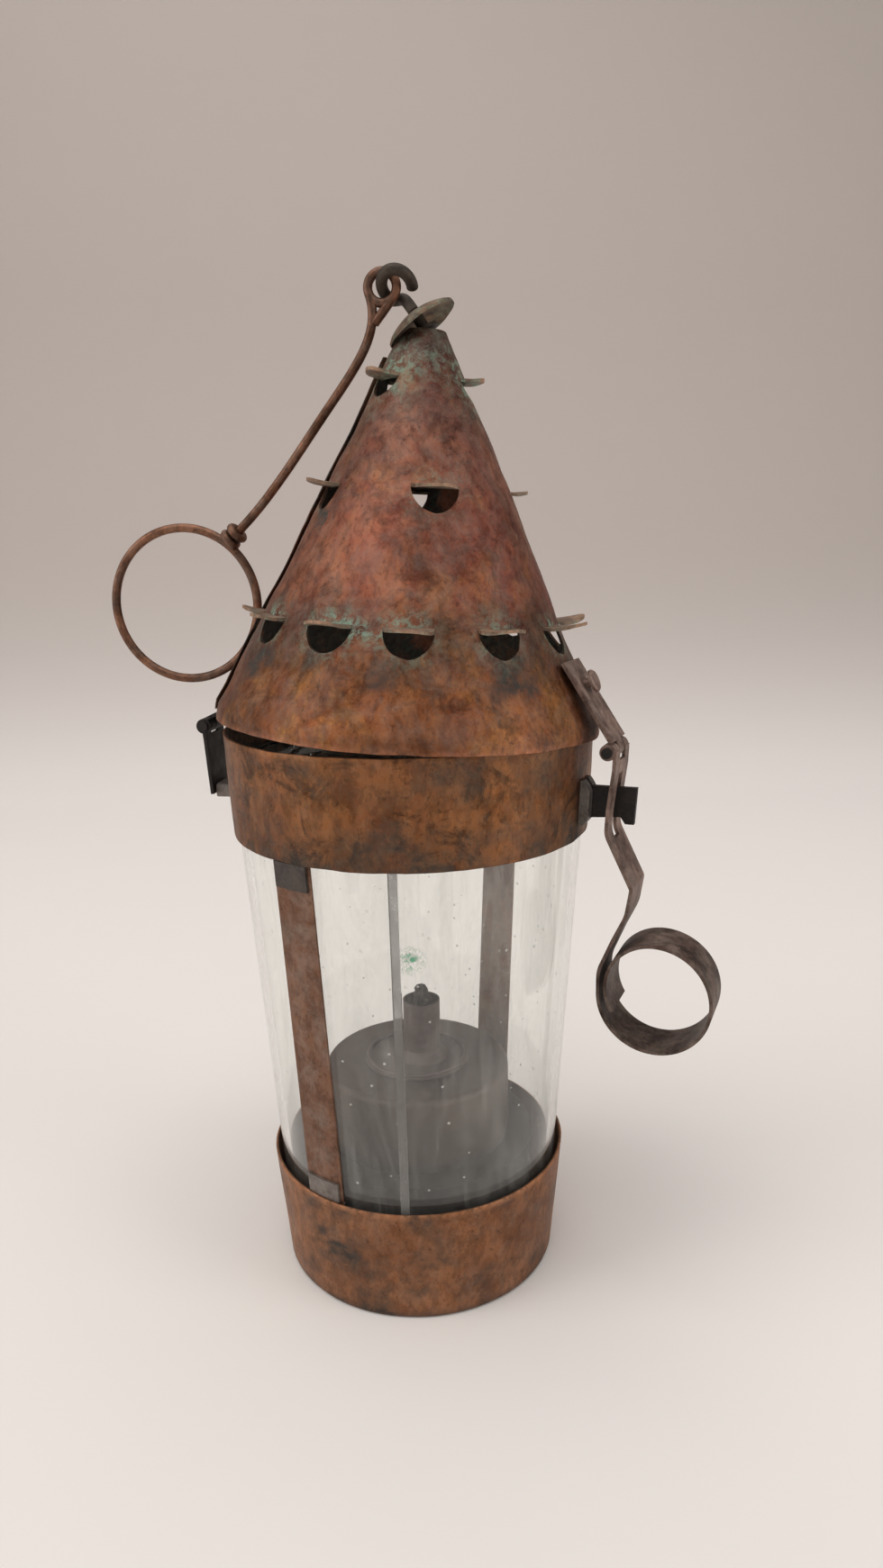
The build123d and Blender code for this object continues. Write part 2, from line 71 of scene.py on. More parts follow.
# ---------------------------------------------------------------- node helpers
class Mat:
    """A small builder for one procedural material."""

    def __init__(self, name):
        self.m = bpy.data.materials.new(name)
        self.m.use_nodes = True
        self.t = self.m.node_tree
        self.t.nodes.clear()
        self.out = self.n("ShaderNodeOutputMaterial")
        self.bsdf = self.n("ShaderNodeBsdfPrincipled")
        self.link(self.bsdf.outputs[0], self.out.inputs[0])
        self.co = self.n("ShaderNodeTexCoord").outputs["Object"]

    def n(self, kind, **props):
        node = self.t.nodes.new(kind)
        for k, v in props.items():
            setattr(node, k, v)
        return node

    def link(self, a, b):
        self.t.links.new(a, b)

    def put(self, socket, value):
        if isinstance(value, bpy.types.NodeSocket):
            self.link(value, socket)
        elif isinstance(value, (tuple, list)) and len(value) == 3 and socket.type == "RGBA":
            socket.default_value = (*value, 1.0)
        else:
            socket.default_value = value

    def mapped(self, scale, offset=(0, 0, 0)):
        node = self.n("ShaderNodeMapping")
        self.link(self.co, node.inputs[0])
        node.inputs["Location"].default_value = offset
        node.inputs["Scale"].default_value = scale if isinstance(scale, tuple) else (scale,) * 3
        return node.outputs[0]

    def noise(self, scale, detail=4.0, rough=0.55, distort=0.0, offset=(0, 0, 0), stretch=(1, 1, 1)):
        """Noise with features of about 1/scale millimetres."""
        node = self.n("ShaderNodeTexNoise")
        s = scale / MM
        self.link(self.mapped(tuple(s * k for k in stretch), offset), node.inputs["Vector"])
        node.inputs["Scale"].default_value = 1.0
        node.inputs["Detail"].default_value = detail
        node.inputs["Roughness"].default_value = rough
        node.inputs["Distortion"].default_value = distort
        return node.outputs["Fac"]

    def voronoi(self, scale, offset=(0, 0, 0), stretch=(1, 1, 1)):
        node = self.n("ShaderNodeTexVoronoi")
        s = scale / MM
        self.link(self.mapped(tuple(s * k for k in stretch), offset), node.inputs["Vector"])
        node.inputs["Scale"].default_value = 1.0
        return node.outputs["Distance"]

    def ramp(self, fac, stops, smooth=False):
        node = self.n("ShaderNodeValToRGB")
        if smooth:
            node.color_ramp.interpolation = "EASE"
        els = node.color_ramp.elements
        while len(els) < len(stops):
            els.new(0.5)
        for el, (pos, col) in zip(els, stops):
            el.position = pos
            el.color = (*col, 1.0) if isinstance(col, (tuple, list)) else (col, col, col, 1.0)
        self.put(node.inputs[0], fac)
        return node.outputs[0]

    def math(self, op, a, b=0.5, clamp=False):
        node = self.n("ShaderNodeMath", operation=op, use_clamp=clamp)
        self.put(node.inputs[0], a)
        self.put(node.inputs[1], b)
        return node.outputs[0]

    def mix(self, fac, a, b, kind="MIX"):
        node = self.n("ShaderNodeMix", data_type="RGBA", blend_type=kind)
        self.put(node.inputs[0], fac)
        self.put(node.inputs[6], a)
        self.put(node.inputs[7], b)
        return node.outputs[2]

    def mask(self, channel):
        """A channel of the painted mask: 0 verdigris, 1 soot (inside the cup painted shade), 2 rubbed bright
        (on the hood's rim also a painted highlight); zero on unpainted meshes.
        """
        node = self.n("ShaderNodeAttribute", attribute_name="mask")
        split = self.n("ShaderNodeSeparateColor")
        self.link(node.outputs["Color"], split.inputs[0])
        return split.outputs[channel]

    def height(self):
        split = self.n("ShaderNodeSeparateXYZ")
        self.link(self.co, split.inputs[0])
        return split.outputs[2]

    def by_height(self, stops):
        """A colour that changes with height; stops are (millimetres up, colour)."""
        lo, hi = stops[0][0], stops[-1][0]
        up = self.math("SUBTRACT", self.height(), lo * MM)
        up = self.math("MULTIPLY", up, 1.0 / ((hi - lo) * MM), True)
        return self.ramp(up, [((z - lo) / (hi - lo), c) for z, c in stops])

    def bump(self, height, strength=0.3, distance=0.2, normal=None):
        node = self.n("ShaderNodeBump")
        node.inputs["Strength"].default_value = strength
        node.inputs["Distance"].default_value = distance * MM
        self.put(node.inputs["Height"], height)
        if normal is not None:
            self.link(normal, node.inputs["Normal"])
        return node.outputs[0]


def aged_copper(
    name,
    deep,
    mid,
    bright,
    seed=0.0,
    patch=0.035,
    dark_patch=0.35,
    green=0.25,
    dusty=0.25,
    metallic=0.85,
    rough=(0.38, 0.62),
    streak=(1.0, 1.0, 0.16),
    soot=(0.02, 0.014, 0.010),
    dust=(0.30, 0.235, 0.19),
    tint=None,
    blush=0.0,
):
    m = Mat(name)
    off = (seed * 13.1, seed * 7.7, seed * 3.3)
    broad = m.noise(patch, 5.0, 0.6, 0.6, off)
    streaks = m.noise(patch * 5, 4.0, 0.6, 0.3, off, streak)
    fine = m.noise(0.9, 5.0, 0.7, 0.0, off)
    tone = m.math("ADD", m.math("MULTIPLY", broad, 0.62), m.math("MULTIPLY", streaks, 0.38))
    colour = m.ramp(tone, [(0.34, deep), (0.47, mid), (0.60, bright), (0.72, mid)])
    # purple-red and golden blushes of the patina, drawn out along the slope
    if blush:
        red = m.noise(0.06, 6.0, 0.65, 0.6, (off[0] + 3, 8, 2), (1, 1, 0.35))
        red = m.ramp(red, [(0.46, 0.0), (0.60, 1.0)])
        colour = m.mix(m.math("MULTIPLY", red, blush), colour, (0.20, 0.052, 0.040))
        gold = m.noise(0.075, 6.0, 0.65, 0.6, (off[0] + 9, 1, 6), (1, 1, 0.5))
        gold = m.ramp(gold, [(0.52, 0.0), (0.66, 1.0)])
        colour = m.mix(m.math("MULTIPLY", gold, blush), colour, (0.42, 0.20, 0.085))
    # dark cloudy blotches with ragged rims
    cloud = m.noise(patch * 2.1, 8.0, 0.72, 0.8, (off[0] + 5, off[1], off[2] + 9))
    blotch = m.ramp(cloud, [(0.50, 0.0), (0.60, 1.0)])
    colour = m.mix(m.math("MULTIPLY", blotch, dark_patch), colour, tuple(c * 0.30 for c in deep))
    # short scratches and fine mottling
    mottle = m.noise(0.35, 6.0, 0.75, 0.3, (off[0] + 1, 3, 17), (1, 1, 0.55))
    dark_fleck = m.math("MULTIPLY", m.ramp(mottle, [(0.44, 1.0), (0.52, 0.0)]), 0.38)
    colour = m.mix(dark_fleck, colour, tuple(c * 0.55 for c in deep))
    colour = m.mix(m.math("MULTIPLY", m.ramp(mottle, [(0.54, 0.0), (0.64, 1.0)]), 0.30), colour, bright)
    # small dark pits and pale flecks
    pits = m.ramp(m.noise(0.55, 3.0, 0.6, 0.0, (off[0], 40, 3)), [(0.60, 0.0), (0.68, 1.0)])
    colour = m.mix(m.math("MULTIPLY", pits, 0.45), colour, tuple(c * 0.35 for c in deep))
    if tint:
        shift = m.math("MULTIPLY", m.math("SUBTRACT", m.noise(0.05, 4.0, 0.6, 0.5, off), 0.5), 30 * MM)
        up = m.math("ADD", m.height(), shift)
        lo, hi = tint[0][0], tint[-1][0]
        up = m.math("MULTIPLY", m.math("SUBTRACT", up, lo * MM), 1.0 / ((hi - lo) * MM), True)
        colour = m.mix(1.0, colour, m.ramp(up, [((z - lo) / (hi - lo), c) for z, c in tint]), "MULTIPLY")
    # dust haze
    haze = m.ramp(m.noise(0.16, 7.0, 0.75, 0.4, (off[0], 2, 21)), [(0.42, 0.0), (0.68, 1.0)])
    haze = m.math("MULTIPLY", haze, dusty)
    colour = m.mix(haze, colour, dust)
    # soot where painted, broken up; inside the cup this channel is painted shade
    soot_and_shade = m.ramp(m.noise(0.30, 6.0, 0.7, 0.5, off), [(0.30, 0.35), (0.55, 1.0)])
    soot_and_shade = m.math("MULTIPLY", m.mask(1), soot_and_shade, True)
    colour = m.mix(soot_and_shade, colour, soot)
    # rubbed bright edges; on the hood's rim also a painted highlight
    rub_and_highlight = m.ramp(m.noise(0.5, 4.0, 0.6, 0.2, off), [(0.38, 0.0), (0.62, 1.0)])
    rub_and_highlight = m.math("MULTIPLY", m.mask(2), rub_and_highlight, True)
    colour = m.mix(rub_and_highlight, colour, tuple(min(1.0, c * 1.45) for c in bright))
    # verdigris, mostly where painted, and a little anywhere
    grain = m.ramp(m.noise(0.42, 8.0, 0.78, 0.6, (off[0], 77, 5)), [(0.46, 0.0), (0.60, 1.0)])
    stray = m.ramp(m.noise(0.12, 6.0, 0.7, 0.5, (off[0], 9, 31)), [(0.66, 0.0), (0.74, 1.0)])
    verd = m.math("ADD", m.math("MULTIPLY", m.mask(0), 1.0), m.math("MULTIPLY", stray, green))
    verd = m.math("MULTIPLY", verd, grain, True)
    colour = m.mix(verd, colour, m.mix(fine, (0.10, 0.21, 0.15), (0.30, 0.42, 0.32)))
    m.put(m.bsdf.inputs["Base Color"], colour)
    dull = m.math("MAXIMUM", verd, m.math("MAXIMUM", soot_and_shade, haze), True)
    m.put(m.bsdf.inputs["Metallic"], m.math("MULTIPLY", m.math("SUBTRACT", 1.0, dull), metallic))
    r = m.math("ADD", m.math("MULTIPLY", streaks, 0.6), m.math("MULTIPLY", fine, 0.4))
    r = m.ramp(r, [(0.35, rough[0]), (0.65, rough[1])])
    m.put(m.bsdf.inputs["Roughness"], m.math("ADD", r, m.math("MULTIPLY", dull, 0.28), True))
    b = m.bump(m.noise(0.09, 3.0, 0.5, 0.0, off), 0.35, 0.8)
    b = m.bump(m.math("ADD", fine, m.math("MULTIPLY", verd, 0.8)), 0.22, 0.18, b)
    m.link(b, m.bsdf.inputs["Normal"])
    return m.m


def dull_metal(
    name,
    dark,
    light,
    metallic=0.6,
    rough=(0.5, 0.75),
    seed=0.0,
    fleck=(0.2, 0.16, 0.12),
    flecks=0.3,
    bump=0.3,
    tint=None,
):
    m = Mat(name)
    off = (seed * 9.0, seed * 5.0, seed * 2.0)
    cloud = m.noise(0.16, 7.0, 0.7, 0.5, off)
    fine = m.noise(1.1, 5.0, 0.7, 0.0, off)
    tone = m.math("ADD", m.math("MULTIPLY", cloud, 0.7), m.math("MULTIPLY", fine, 0.3))
    colour = m.ramp(tone, [(0.36, dark), (0.62, light)])
    spots = m.ramp(m.noise(0.5, 5.0, 0.7, 0.2, (off[0], 11, 3)), [(0.58, 0.0), (0.68, 1.0)])
    colour = m.mix(m.math("MULTIPLY", spots, flecks), colour, fleck)
    rub_and_highlight = m.ramp(m.noise(0.5, 4.0, 0.6, 0.2, off), [(0.38, 0.0), (0.62, 1.0)])
    rub_and_highlight = m.math("MULTIPLY", m.mask(2), rub_and_highlight, True)
    colour = m.mix(rub_and_highlight, colour, tuple(min(1.0, c * 2.2) for c in light))
    # a colour by height; on the tin it is painted shade
    if tint:
        colour = m.mix(1.0, colour, m.by_height(tint), "MULTIPLY")
    m.put(m.bsdf.inputs["Base Color"], colour)
    m.bsdf.inputs["Metallic"].default_value = metallic
    m.put(m.bsdf.inputs["Roughness"], m.ramp(cloud, [(0.35, rough[0]), (0.65, rough[1])]))
    m.link(m.bump(m.math("ADD", fine, cloud), bump, 0.25), m.bsdf.inputs["Normal"])
    return m.m


def old_glass():
    m = Mat("old_glass")
    b = m.bsdf
    b.inputs["Base Color"].default_value = (0.975, 0.985, 0.975, 1)
    b.inputs["IOR"].default_value = 1.5
    b.inputs["Transmission Weight"].default_value = 1.0
    m.put(b.inputs["Roughness"], m.ramp(m.noise(0.05, 4.0, 0.6, 0.3), [(0.45, 0.0), (0.8, 0.05)]))
    m.link(m.bump(m.noise(0.035, 2.0, 0.4, 0.0, (3, 1, 2), (1, 1, 0.4)), 0.08, 0.6), b.inputs["Normal"])
    # smudges, dust and drips on the surface
    grime = m.n("ShaderNodeBsdfPrincipled")
    grime.inputs["Roughness"].default_value = 0.8
    smear = m.ramp(m.noise(0.045, 8.0, 0.72, 1.2, (2, 5, 0), (1, 1, 0.35)), [(0.48, 0.0), (0.80, 0.15)])
    drip = m.ramp(m.noise(0.35, 4.0, 0.6, 0.2, (7, 1, 0), (1, 1, 0.05)), [(0.57, 0.0), (0.75, 0.10)])
    speck = m.ramp(m.voronoi(0.16, (4, 4, 1)), [(0.05, 0.60), (0.08, 0.0)])
    low = m.ramp(m.math("MULTIPLY", m.height(), 1 / (150 * MM)), [(0.20, 0.05), (0.50, 0.0)])
    dusty_foot = m.math("MULTIPLY", m.noise(0.2, 5.0), low)
    amount = m.math("ADD", m.math("ADD", smear, drip), m.math("ADD", speck, dusty_foot), True)
    # one crumb of verdigris beside the seam
    far = m.n("ShaderNodeVectorMath", operation="DISTANCE")
    m.link(m.co, far.inputs[0])
    far.inputs[1].default_value = (7.8 * MM, -46.4 * MM, 107.5 * MM)
    crumb = m.ramp(m.math("MULTIPLY", far.outputs["Value"], 1 / (5 * MM)), [(0.25, 1.0), (0.95, 0.0)])
    ragged = m.ramp(m.noise(0.7, 5.0, 0.7, 0.4, (6, 6, 6)), [(0.47, 0.0), (0.55, 1.0)])
    crumb = m.math("MULTIPLY", crumb, ragged, True)
    m.put(grime.inputs["Base Color"], m.mix(crumb, (0.62, 0.60, 0.56), (0.13, 0.36, 0.22)))
    mixer = m.n("ShaderNodeMixShader")
    m.put(mixer.inputs[0], m.math("MAXIMUM", amount, crumb, True))
    m.link(b.outputs[0], mixer.inputs[1])
    m.link(grime.outputs[0], mixer.inputs[2])
    # light passes through to what stands inside
    clear = m.n("ShaderNodeBsdfTransparent")
    clear.inputs[0].default_value = (0.93, 0.94, 0.93, 1)
    path = m.n("ShaderNodeLightPath")
    through = m.math("MAXIMUM", path.outputs["Is Shadow Ray"], path.outputs["Is Diffuse Ray"])
    last = m.n("ShaderNodeMixShader")
    m.link(through, last.inputs[0])
    m.link(mixer.outputs[0], last.inputs[1])
    m.link(clear.outputs[0], last.inputs[2])
    m.link(last.outputs[0], m.out.inputs[0])
    return m.m


def seam_putty():
    """Old grey putty in the split of the glass, letting some light through."""
    m = Mat("seam_putty")
    cloud = m.noise(0.10, 6.0, 0.7, 0.4, (1, 1, 1), (1, 1, 0.4))
    grey = m.ramp(cloud, [(0.38, (0.20, 0.19, 0.175)), (0.62, (0.36, 0.345, 0.325))])
    m.put(m.bsdf.inputs["Base Color"], grey)
    m.bsdf.inputs["Roughness"].default_value = 0.7
    clear = m.n("ShaderNodeBsdfTransparent")
    mixer = m.n("ShaderNodeMixShader")
    m.put(mixer.inputs[0], m.ramp(cloud, [(0.40, 0.35), (0.65, 0.60)]))
    m.link(m.bsdf.outputs[0], mixer.inputs[1])
    m.link(clear.outputs[0], mixer.inputs[2])
    m.link(mixer.outputs[0], m.out.inputs[0])
    return m.m


def charred_cloth():
    m = Mat("charred_wick")
    weave = m.noise(1.6, 3.0, 0.6, 0.0, (0, 0, 0), (1, 1, 0.25))
    ash = m.noise(0.6, 6.0, 0.7, 0.4)
    char = [(0.4, (0.02, 0.018, 0.017)), (0.6, (0.09, 0.075, 0.065)), (0.75, (0.24, 0.2, 0.17))]
    m.put(m.bsdf.inputs["Base Color"], m.ramp(ash, char))
    m.bsdf.inputs["Roughness"].default_value = 0.95
    m.link(m.bump(m.math("ADD", weave, ash), 0.8, 0.5), m.bsdf.inputs["Normal"])
    return m.m


HOOD_CU = aged_copper(
    "hood_copper", (0.10, 0.034, 0.022), (0.235, 0.085, 0.052), (0.36, 0.150, 0.088),
    1.0, green=0.10, dusty=0.30,
    dark_patch=0.5, dust=(0.25, 0.185, 0.15),
    tint=[
        # golden at the rim: a painted highlight
        (158.0, (1.0, 0.92, 0.52)),
        (172.0, (0.85, 0.80, 0.48)),
        (186.0, (0.42, 0.38, 0.32)),
        (200.0, (0.95, 0.84, 0.74)),
        (222.0, (0.84, 0.76, 0.74)),
        (238.0, (0.60, 0.62, 0.66)),
        (262.0, (0.40, 0.46, 0.46)),
    ],
    blush=0.55,
)
BAND_CU = aged_copper(
    "band_copper", (0.10, 0.036, 0.013), (0.20, 0.074, 0.024), (0.31, 0.125, 0.045),
    2.0, patch=0.045, dark_patch=0.75,
    green=0.05, dusty=0.12, blush=0.2,
)
CUP_CU = aged_copper(
    "cup_copper", (0.15, 0.058, 0.026), (0.255, 0.104, 0.046), (0.36, 0.160, 0.076),
    3.0, patch=0.03, dark_patch=0.30,
    green=0.02, dusty=0.22, streak=(1.0, 1.0, 0.5),
)
STRUT_CU = aged_copper(
    "strut_copper", (0.11, 0.052, 0.032), (0.175, 0.086, 0.052), (0.245, 0.125, 0.078),
    4.0, dark_patch=0.2, green=0.03,
    dusty=0.45, rough=(0.5, 0.7),
)
FLAP_CU = aged_copper(
    "flap_copper", (0.10, 0.06, 0.04), (0.22, 0.135, 0.09), (0.38, 0.22, 0.14),
    5.0, patch=0.12, dark_patch=0.35,
    green=0.45, dusty=0.5, rough=(0.5, 0.7),
)
STRAP_CU = aged_copper(
    "strap_copper", (0.07, 0.042, 0.034), (0.17, 0.105, 0.084), (0.33, 0.22, 0.18),
    6.0, patch=0.07, dark_patch=0.45,
    green=0.08, dusty=0.5, rough=(0.42, 0.65),
    tint=[
        (60.0, (0.42, 0.44, 0.45)),
        (104.0, (0.55, 0.55, 0.55)),
        (120.0, (1.0, 1.0, 1.0)),
        (180.0, (1.0, 1.0, 1.0)),
    ],
)
WIRE_CU = aged_copper(
    "wire_copper", (0.07, 0.035, 0.022), (0.16, 0.075, 0.045), (0.28, 0.13, 0.075),
    7.0, patch=0.10, dark_patch=0.3,
    green=0.05, dusty=0.25, rough=(0.38, 0.6),
)
CAP_CU = aged_copper(
    "cap_copper", (0.075, 0.045, 0.03), (0.15, 0.09, 0.06), (0.26, 0.16, 0.10),
    8.0, patch=0.10, dark_patch=0.4,
    green=0.2, dusty=0.5, rough=(0.5, 0.75),
)
IRON = dull_metal(
    "black_iron", (0.008, 0.007, 0.007), (0.035, 0.028, 0.026),
    0.6, (0.45, 0.7), 1.0, (0.10, 0.055, 0.035), 0.25,
)
HOOK_IRON = dull_metal(
    "hook_iron", (0.022, 0.016, 0.012), (0.085, 0.065, 0.05),
    0.7, (0.45, 0.7), 2.0, (0.14, 0.08, 0.05), 0.4,
)
SOLDER = dull_metal(
    "grey_solder", (0.09, 0.075, 0.065), (0.27, 0.235, 0.21),
    0.6, (0.45, 0.7), 3.0, (0.12, 0.06, 0.035), 0.4, 0.6,
)
DARK_SOLDER = dull_metal(
    "dark_solder", (0.03, 0.024, 0.021), (0.105, 0.082, 0.070),
    0.5, (0.5, 0.75), 5.0, (0.12, 0.07, 0.045), 0.4, 0.5,
)
TIN = dull_metal(
    "dull_tin", (0.070, 0.053, 0.045), (0.160, 0.128, 0.115),
    0.35, (0.5, 0.7), 4.0, (0.075, 0.042, 0.028), 0.5, 0.05,
    tint=[
        # painted shade: darker lower down, deepest below the cup's rim, lighter towards the top
        (33.0, (0.05, 0.038, 0.03)),
        (37.2, (0.11, 0.085, 0.065)),
        (40.0, (0.38, 0.29, 0.20)),
        (56.0, (0.62, 0.52, 0.42)),
        (60.0, (1.0, 0.90, 0.90)),
    ],
)
GLASS_M = old_glass()
WICK_M = charred_cloth()
PUTTY_M = seam_putty()


# ---------------------------------------------------------------- mesh helpers
def add(name, verts, faces, mat, body, nodes=(), smooth=35.0, mask=None):
    """A mesh piece from vertices in millimetres; mask gives each vertex (verdigris, soot and painted shade,
    rubbed wear and painted highlight).
    """
    me = bpy.data.meshes.new(name)
    me.from_pydata([(x * MM, y * MM, z * MM) for x, y, z in verts], [], faces)
    me.validate()
    ob = bpy.data.objects.new(name, me)
    bpy.context.scene.collection.objects.link(ob)
    finish_mesh(ob, smooth)
    me.materials.append(mat)
    if mask is not None:
        paint(ob, mask)
    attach(ob, body)
    if nodes:
        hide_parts(*nodes)
    return ob


def finish_mesh(ob, smooth=35.0):
    bm = bmesh.new()
    bm.from_mesh(ob.data)
    bmesh.ops.remove_doubles(bm, verts=bm.verts, dist=1e-7)
    bmesh.ops.recalc_face_normals(bm, faces=bm.faces)
    limit = math.radians(smooth)
    for f in bm.faces:
        f.smooth = True
    for e in bm.edges:
        if len(e.link_faces) == 2:
            e.smooth = e.calc_face_angle(0.0) < limit
    bm.to_mesh(ob.data)
    bm.free()


def paint(ob, fn):
    me = ob.data
    if "mask" in me.color_attributes:
        me.color_attributes.remove(me.color_attributes["mask"])
    layer = me.color_attributes.new("mask", "FLOAT_COLOR", "POINT")
    vals = np.zeros((len(me.vertices), 4), np.float32)
    for i, v in enumerate(me.vertices):
        vals[i, :3] = fn(v.co.x / MM, v.co.y / MM, v.co.z / MM)
    vals[:, 3] = 1.0
    layer.data.foreach_set("color", np.clip(vals, 0, 1).ravel())


def fbm(x, y, z, scale, seed=0.0, octaves=3):
    """Smooth noise about -1..1 with features of about 1/scale millimetres."""
    at = Vector((x * scale + seed, y * scale - seed, z * scale + 2 * seed))
    return noise.fractal(at, 0.6, 2.0, octaves)


def subdivided(points, step):
    out = []
    for (r0, z0), (r1, z1) in zip(points, points[1:]):
        k = max(1, round(math.hypot(r1 - r0, z1 - z0) / step))
        out += [(r0 + (r1 - r0) * i / k, z0 + (z1 - z0) * i / k) for i in range(k)]
    return out + [points[-1]]


def offset_profile(points, inward):
    return [(r - inward, z) for r, z in points]


def skin_section(outer, thickness, step, bevel=0.18):
    """Closed section of a skin: up the outside, over a rounded edge, down the inside."""
    inner = offset_profile(outer, thickness)
    (r0, z0), (r1, z1) = outer[0], outer[-1]
    up = subdivided([(r0, z0 + bevel)] + outer[1:-1] + [(r1, z1 - bevel)], step)
    inside = [(r1 - thickness, z1 - bevel)] + inner[1:-1][::-1] + [(r0 - thickness, z0 + bevel)]
    down = subdivided(inside, step)
    top = [(r1 - bevel * 0.7, z1 - bevel * 0.2), (r1 - thickness + bevel * 0.7, z1 - bevel * 0.2)]
    bottom = [(r0 - thickness + bevel * 0.7, z0 + bevel * 0.2), (r0 - bevel * 0.7, z0 + bevel * 0.2)]
    shoulder_out = [(r1 - bevel * 0.25, z1 - bevel * 0.6)]
    shoulder_in = [(r1 - thickness + bevel * 0.25, z1 - bevel * 0.6)]
    return up + shoulder_out + top + shoulder_in + down + bottom


def lathe(section, segs, start=0.0, sweep=2 * math.pi, warp=None):
    """Vertices and faces of a closed section turned about Z."""
    full = abs(sweep) > 2 * math.pi - 1e-6
    rings = segs if full else segs + 1
    verts = []
    for i in range(rings):
        a = start + sweep * i / segs
        for r, z in section:
            p = (r * math.cos(a), r * math.sin(a), z)
            verts.append(warp(p) if warp else p)
    n = len(section)
    faces = []
    for i in range(segs):
        j = (i + 1) % rings
        for k in range(n):
            l = (k + 1) % n
            faces.append((i * n + k, j * n + k, j * n + l, i * n + l))
    if not full:
        faces.append(tuple(range(n)))
        faces.append(tuple((rings - 1) * n + k for k in reversed(range(n))))
    return verts, faces


def lean(p):
    """Hood frame to row frame, millimetres."""
    x, y, z = p
    c, s = math.cos(HOOD_LEAN), math.sin(HOOD_LEAN)
    return (x * c + z * s, y, -x * s + z * c + HOOD_Z)


def unlean(x, y, z):
    z -= HOOD_Z
    c, s = math.cos(HOOD_LEAN), math.sin(HOOD_LEAN)
    return x * c - z * s, y, x * s + z * c


def cone_r(z):
    z = min(max(z, 0.0), HOOD_PROFILE[-1][1])
    for (r0, z0), (r1, z1) in zip(HOOD_PROFILE, HOOD_PROFILE[1:]):
        if z <= z1:
            return r0 + (r1 - r0) * (z - z0) / (z1 - z0)


def hood_dent(p):
    """Hand-beaten unevenness of the hood, the same for the hood and what is fixed on it."""
    x, y, z = p
    r = math.hypot(x, y)
    if r < 1e-6:
        return p
    fade = min(1.0, r / 20.0)
    d = 0.60 * fade * fbm(x, y, z, 0.045, 3.0, 2) + 0.16 * fbm(x, y, z, 0.16, 8.0, 2)
    ang = math.atan2(y, x)
    # the far side of the cone bellies out a little, the near side is pressed in
    belly = math.exp(-(((z - 58.0) / 22.0) ** 2))
    d += belly * (0.9 * max(0.0, math.cos(ang)) ** 2 - 0.4 * max(0.0, -math.cos(ang)) ** 2)
    rim = max(0.0, 1.0 - z / 7.0)
    d = max(d - rim * 0.2 * abs(math.sin(ang * 3.5)), -0.35 - min(0.5, 0.05 * z))
    k = (r + d) / r
    # the rim waves up at the front and down beside the latch
    wave = 0.5 * math.cos(ang + math.radians(110)) + 0.35 * fbm(x, y, 0.0, 0.06, 5.0, 2)
    return (x * k, y * k, z + rim * max(wave, -0.55))


def nearest_louver(x, y, z):
    """Distance to the nearest louver's bend line, in the hood frame, and which row it is in."""
    best, row = 1e9, None
    for i, (bz, _, azs, _) in enumerate(LOUVERS):
        if abs(z - bz) > 25:
            continue
        r = cone_r(bz)
        for az in azs:
            a = math.radians(az)
            dx, dy, dz = x - r * math.cos(a), y - r * math.sin(a), z - (bz - 2)
            d = math.sqrt(dx * dx + dy * dy + (dz * 1.1) ** 2)
            if d < best:
                best, row = d, i
    return best, row


def hood_mask(x, y, z):
    hx, hy, hz = unlean(x, y, z)
    d, row = nearest_louver(hx, hy, hz)
    strong = {0: 0.9, 1: 0.45, 2: 0.85}.get(row, 0.0)
    ang = math.degrees(math.atan2(hy, hx))
    near = math.exp(-max(0.0, d - 4.0) / (2.6 if row == 2 else 3.6))
    side = 0.5 + 0.5 * fbm(hx, hy, hz, 0.05, 12.0, 2)
    green = strong * near * (0.45 + side)
    if -112 < ang < -82 and abs(hz - 27.3) < 4.0:
        green += 0.75 * (1 - abs(hz - 27.3) / 4.0)
    green += 0.35 * max(0.0, 1 - abs(hz - 94.3) / 10.0)
    rim = max(0.0, 1 - hz / 2.2)
    soot = 0.30 * max(0.0, 1 - hz / 10.0) * (0.5 + fbm(hx, hy, hz, 0.08, 2.0, 3))
    low = max(0.0, 1 - abs(hz - 14.0) / 17.0)
    soot += 0.95 * low * max(0.0, fbm(hx, hy, hz, 0.055, 20.0, 4) + 0.05) * 2.0
    r = math.hypot(hx, hy)
    inside = r < cone_r(hz) - 0.55
    if inside:
        return (0.1, 1.0, 0.0)
    # the bright rim band is rubbed wear and a painted highlight
    return (green, soot, 0.55 * rim + 0.35 * math.exp(-max(0.0, d - 5.5) / 0.8) * 0.5)


def cut(ob, cutter):
    mod = ob.modifiers.new("cut", "BOOLEAN")
    mod.operation = "DIFFERENCE"
    mod.solver = "EXACT"
    mod.object = cutter
    bpy.context.view_layer.update()
    dg = bpy.context.evaluated_depsgraph_get()
    me = bpy.data.meshes.new_from_object(ob.evaluated_get(dg))
    ob.modifiers.clear()
    old = ob.data
    ob.data = me
    bpy.data.meshes.remove(old)
    bpy.data.objects.remove(cutter)


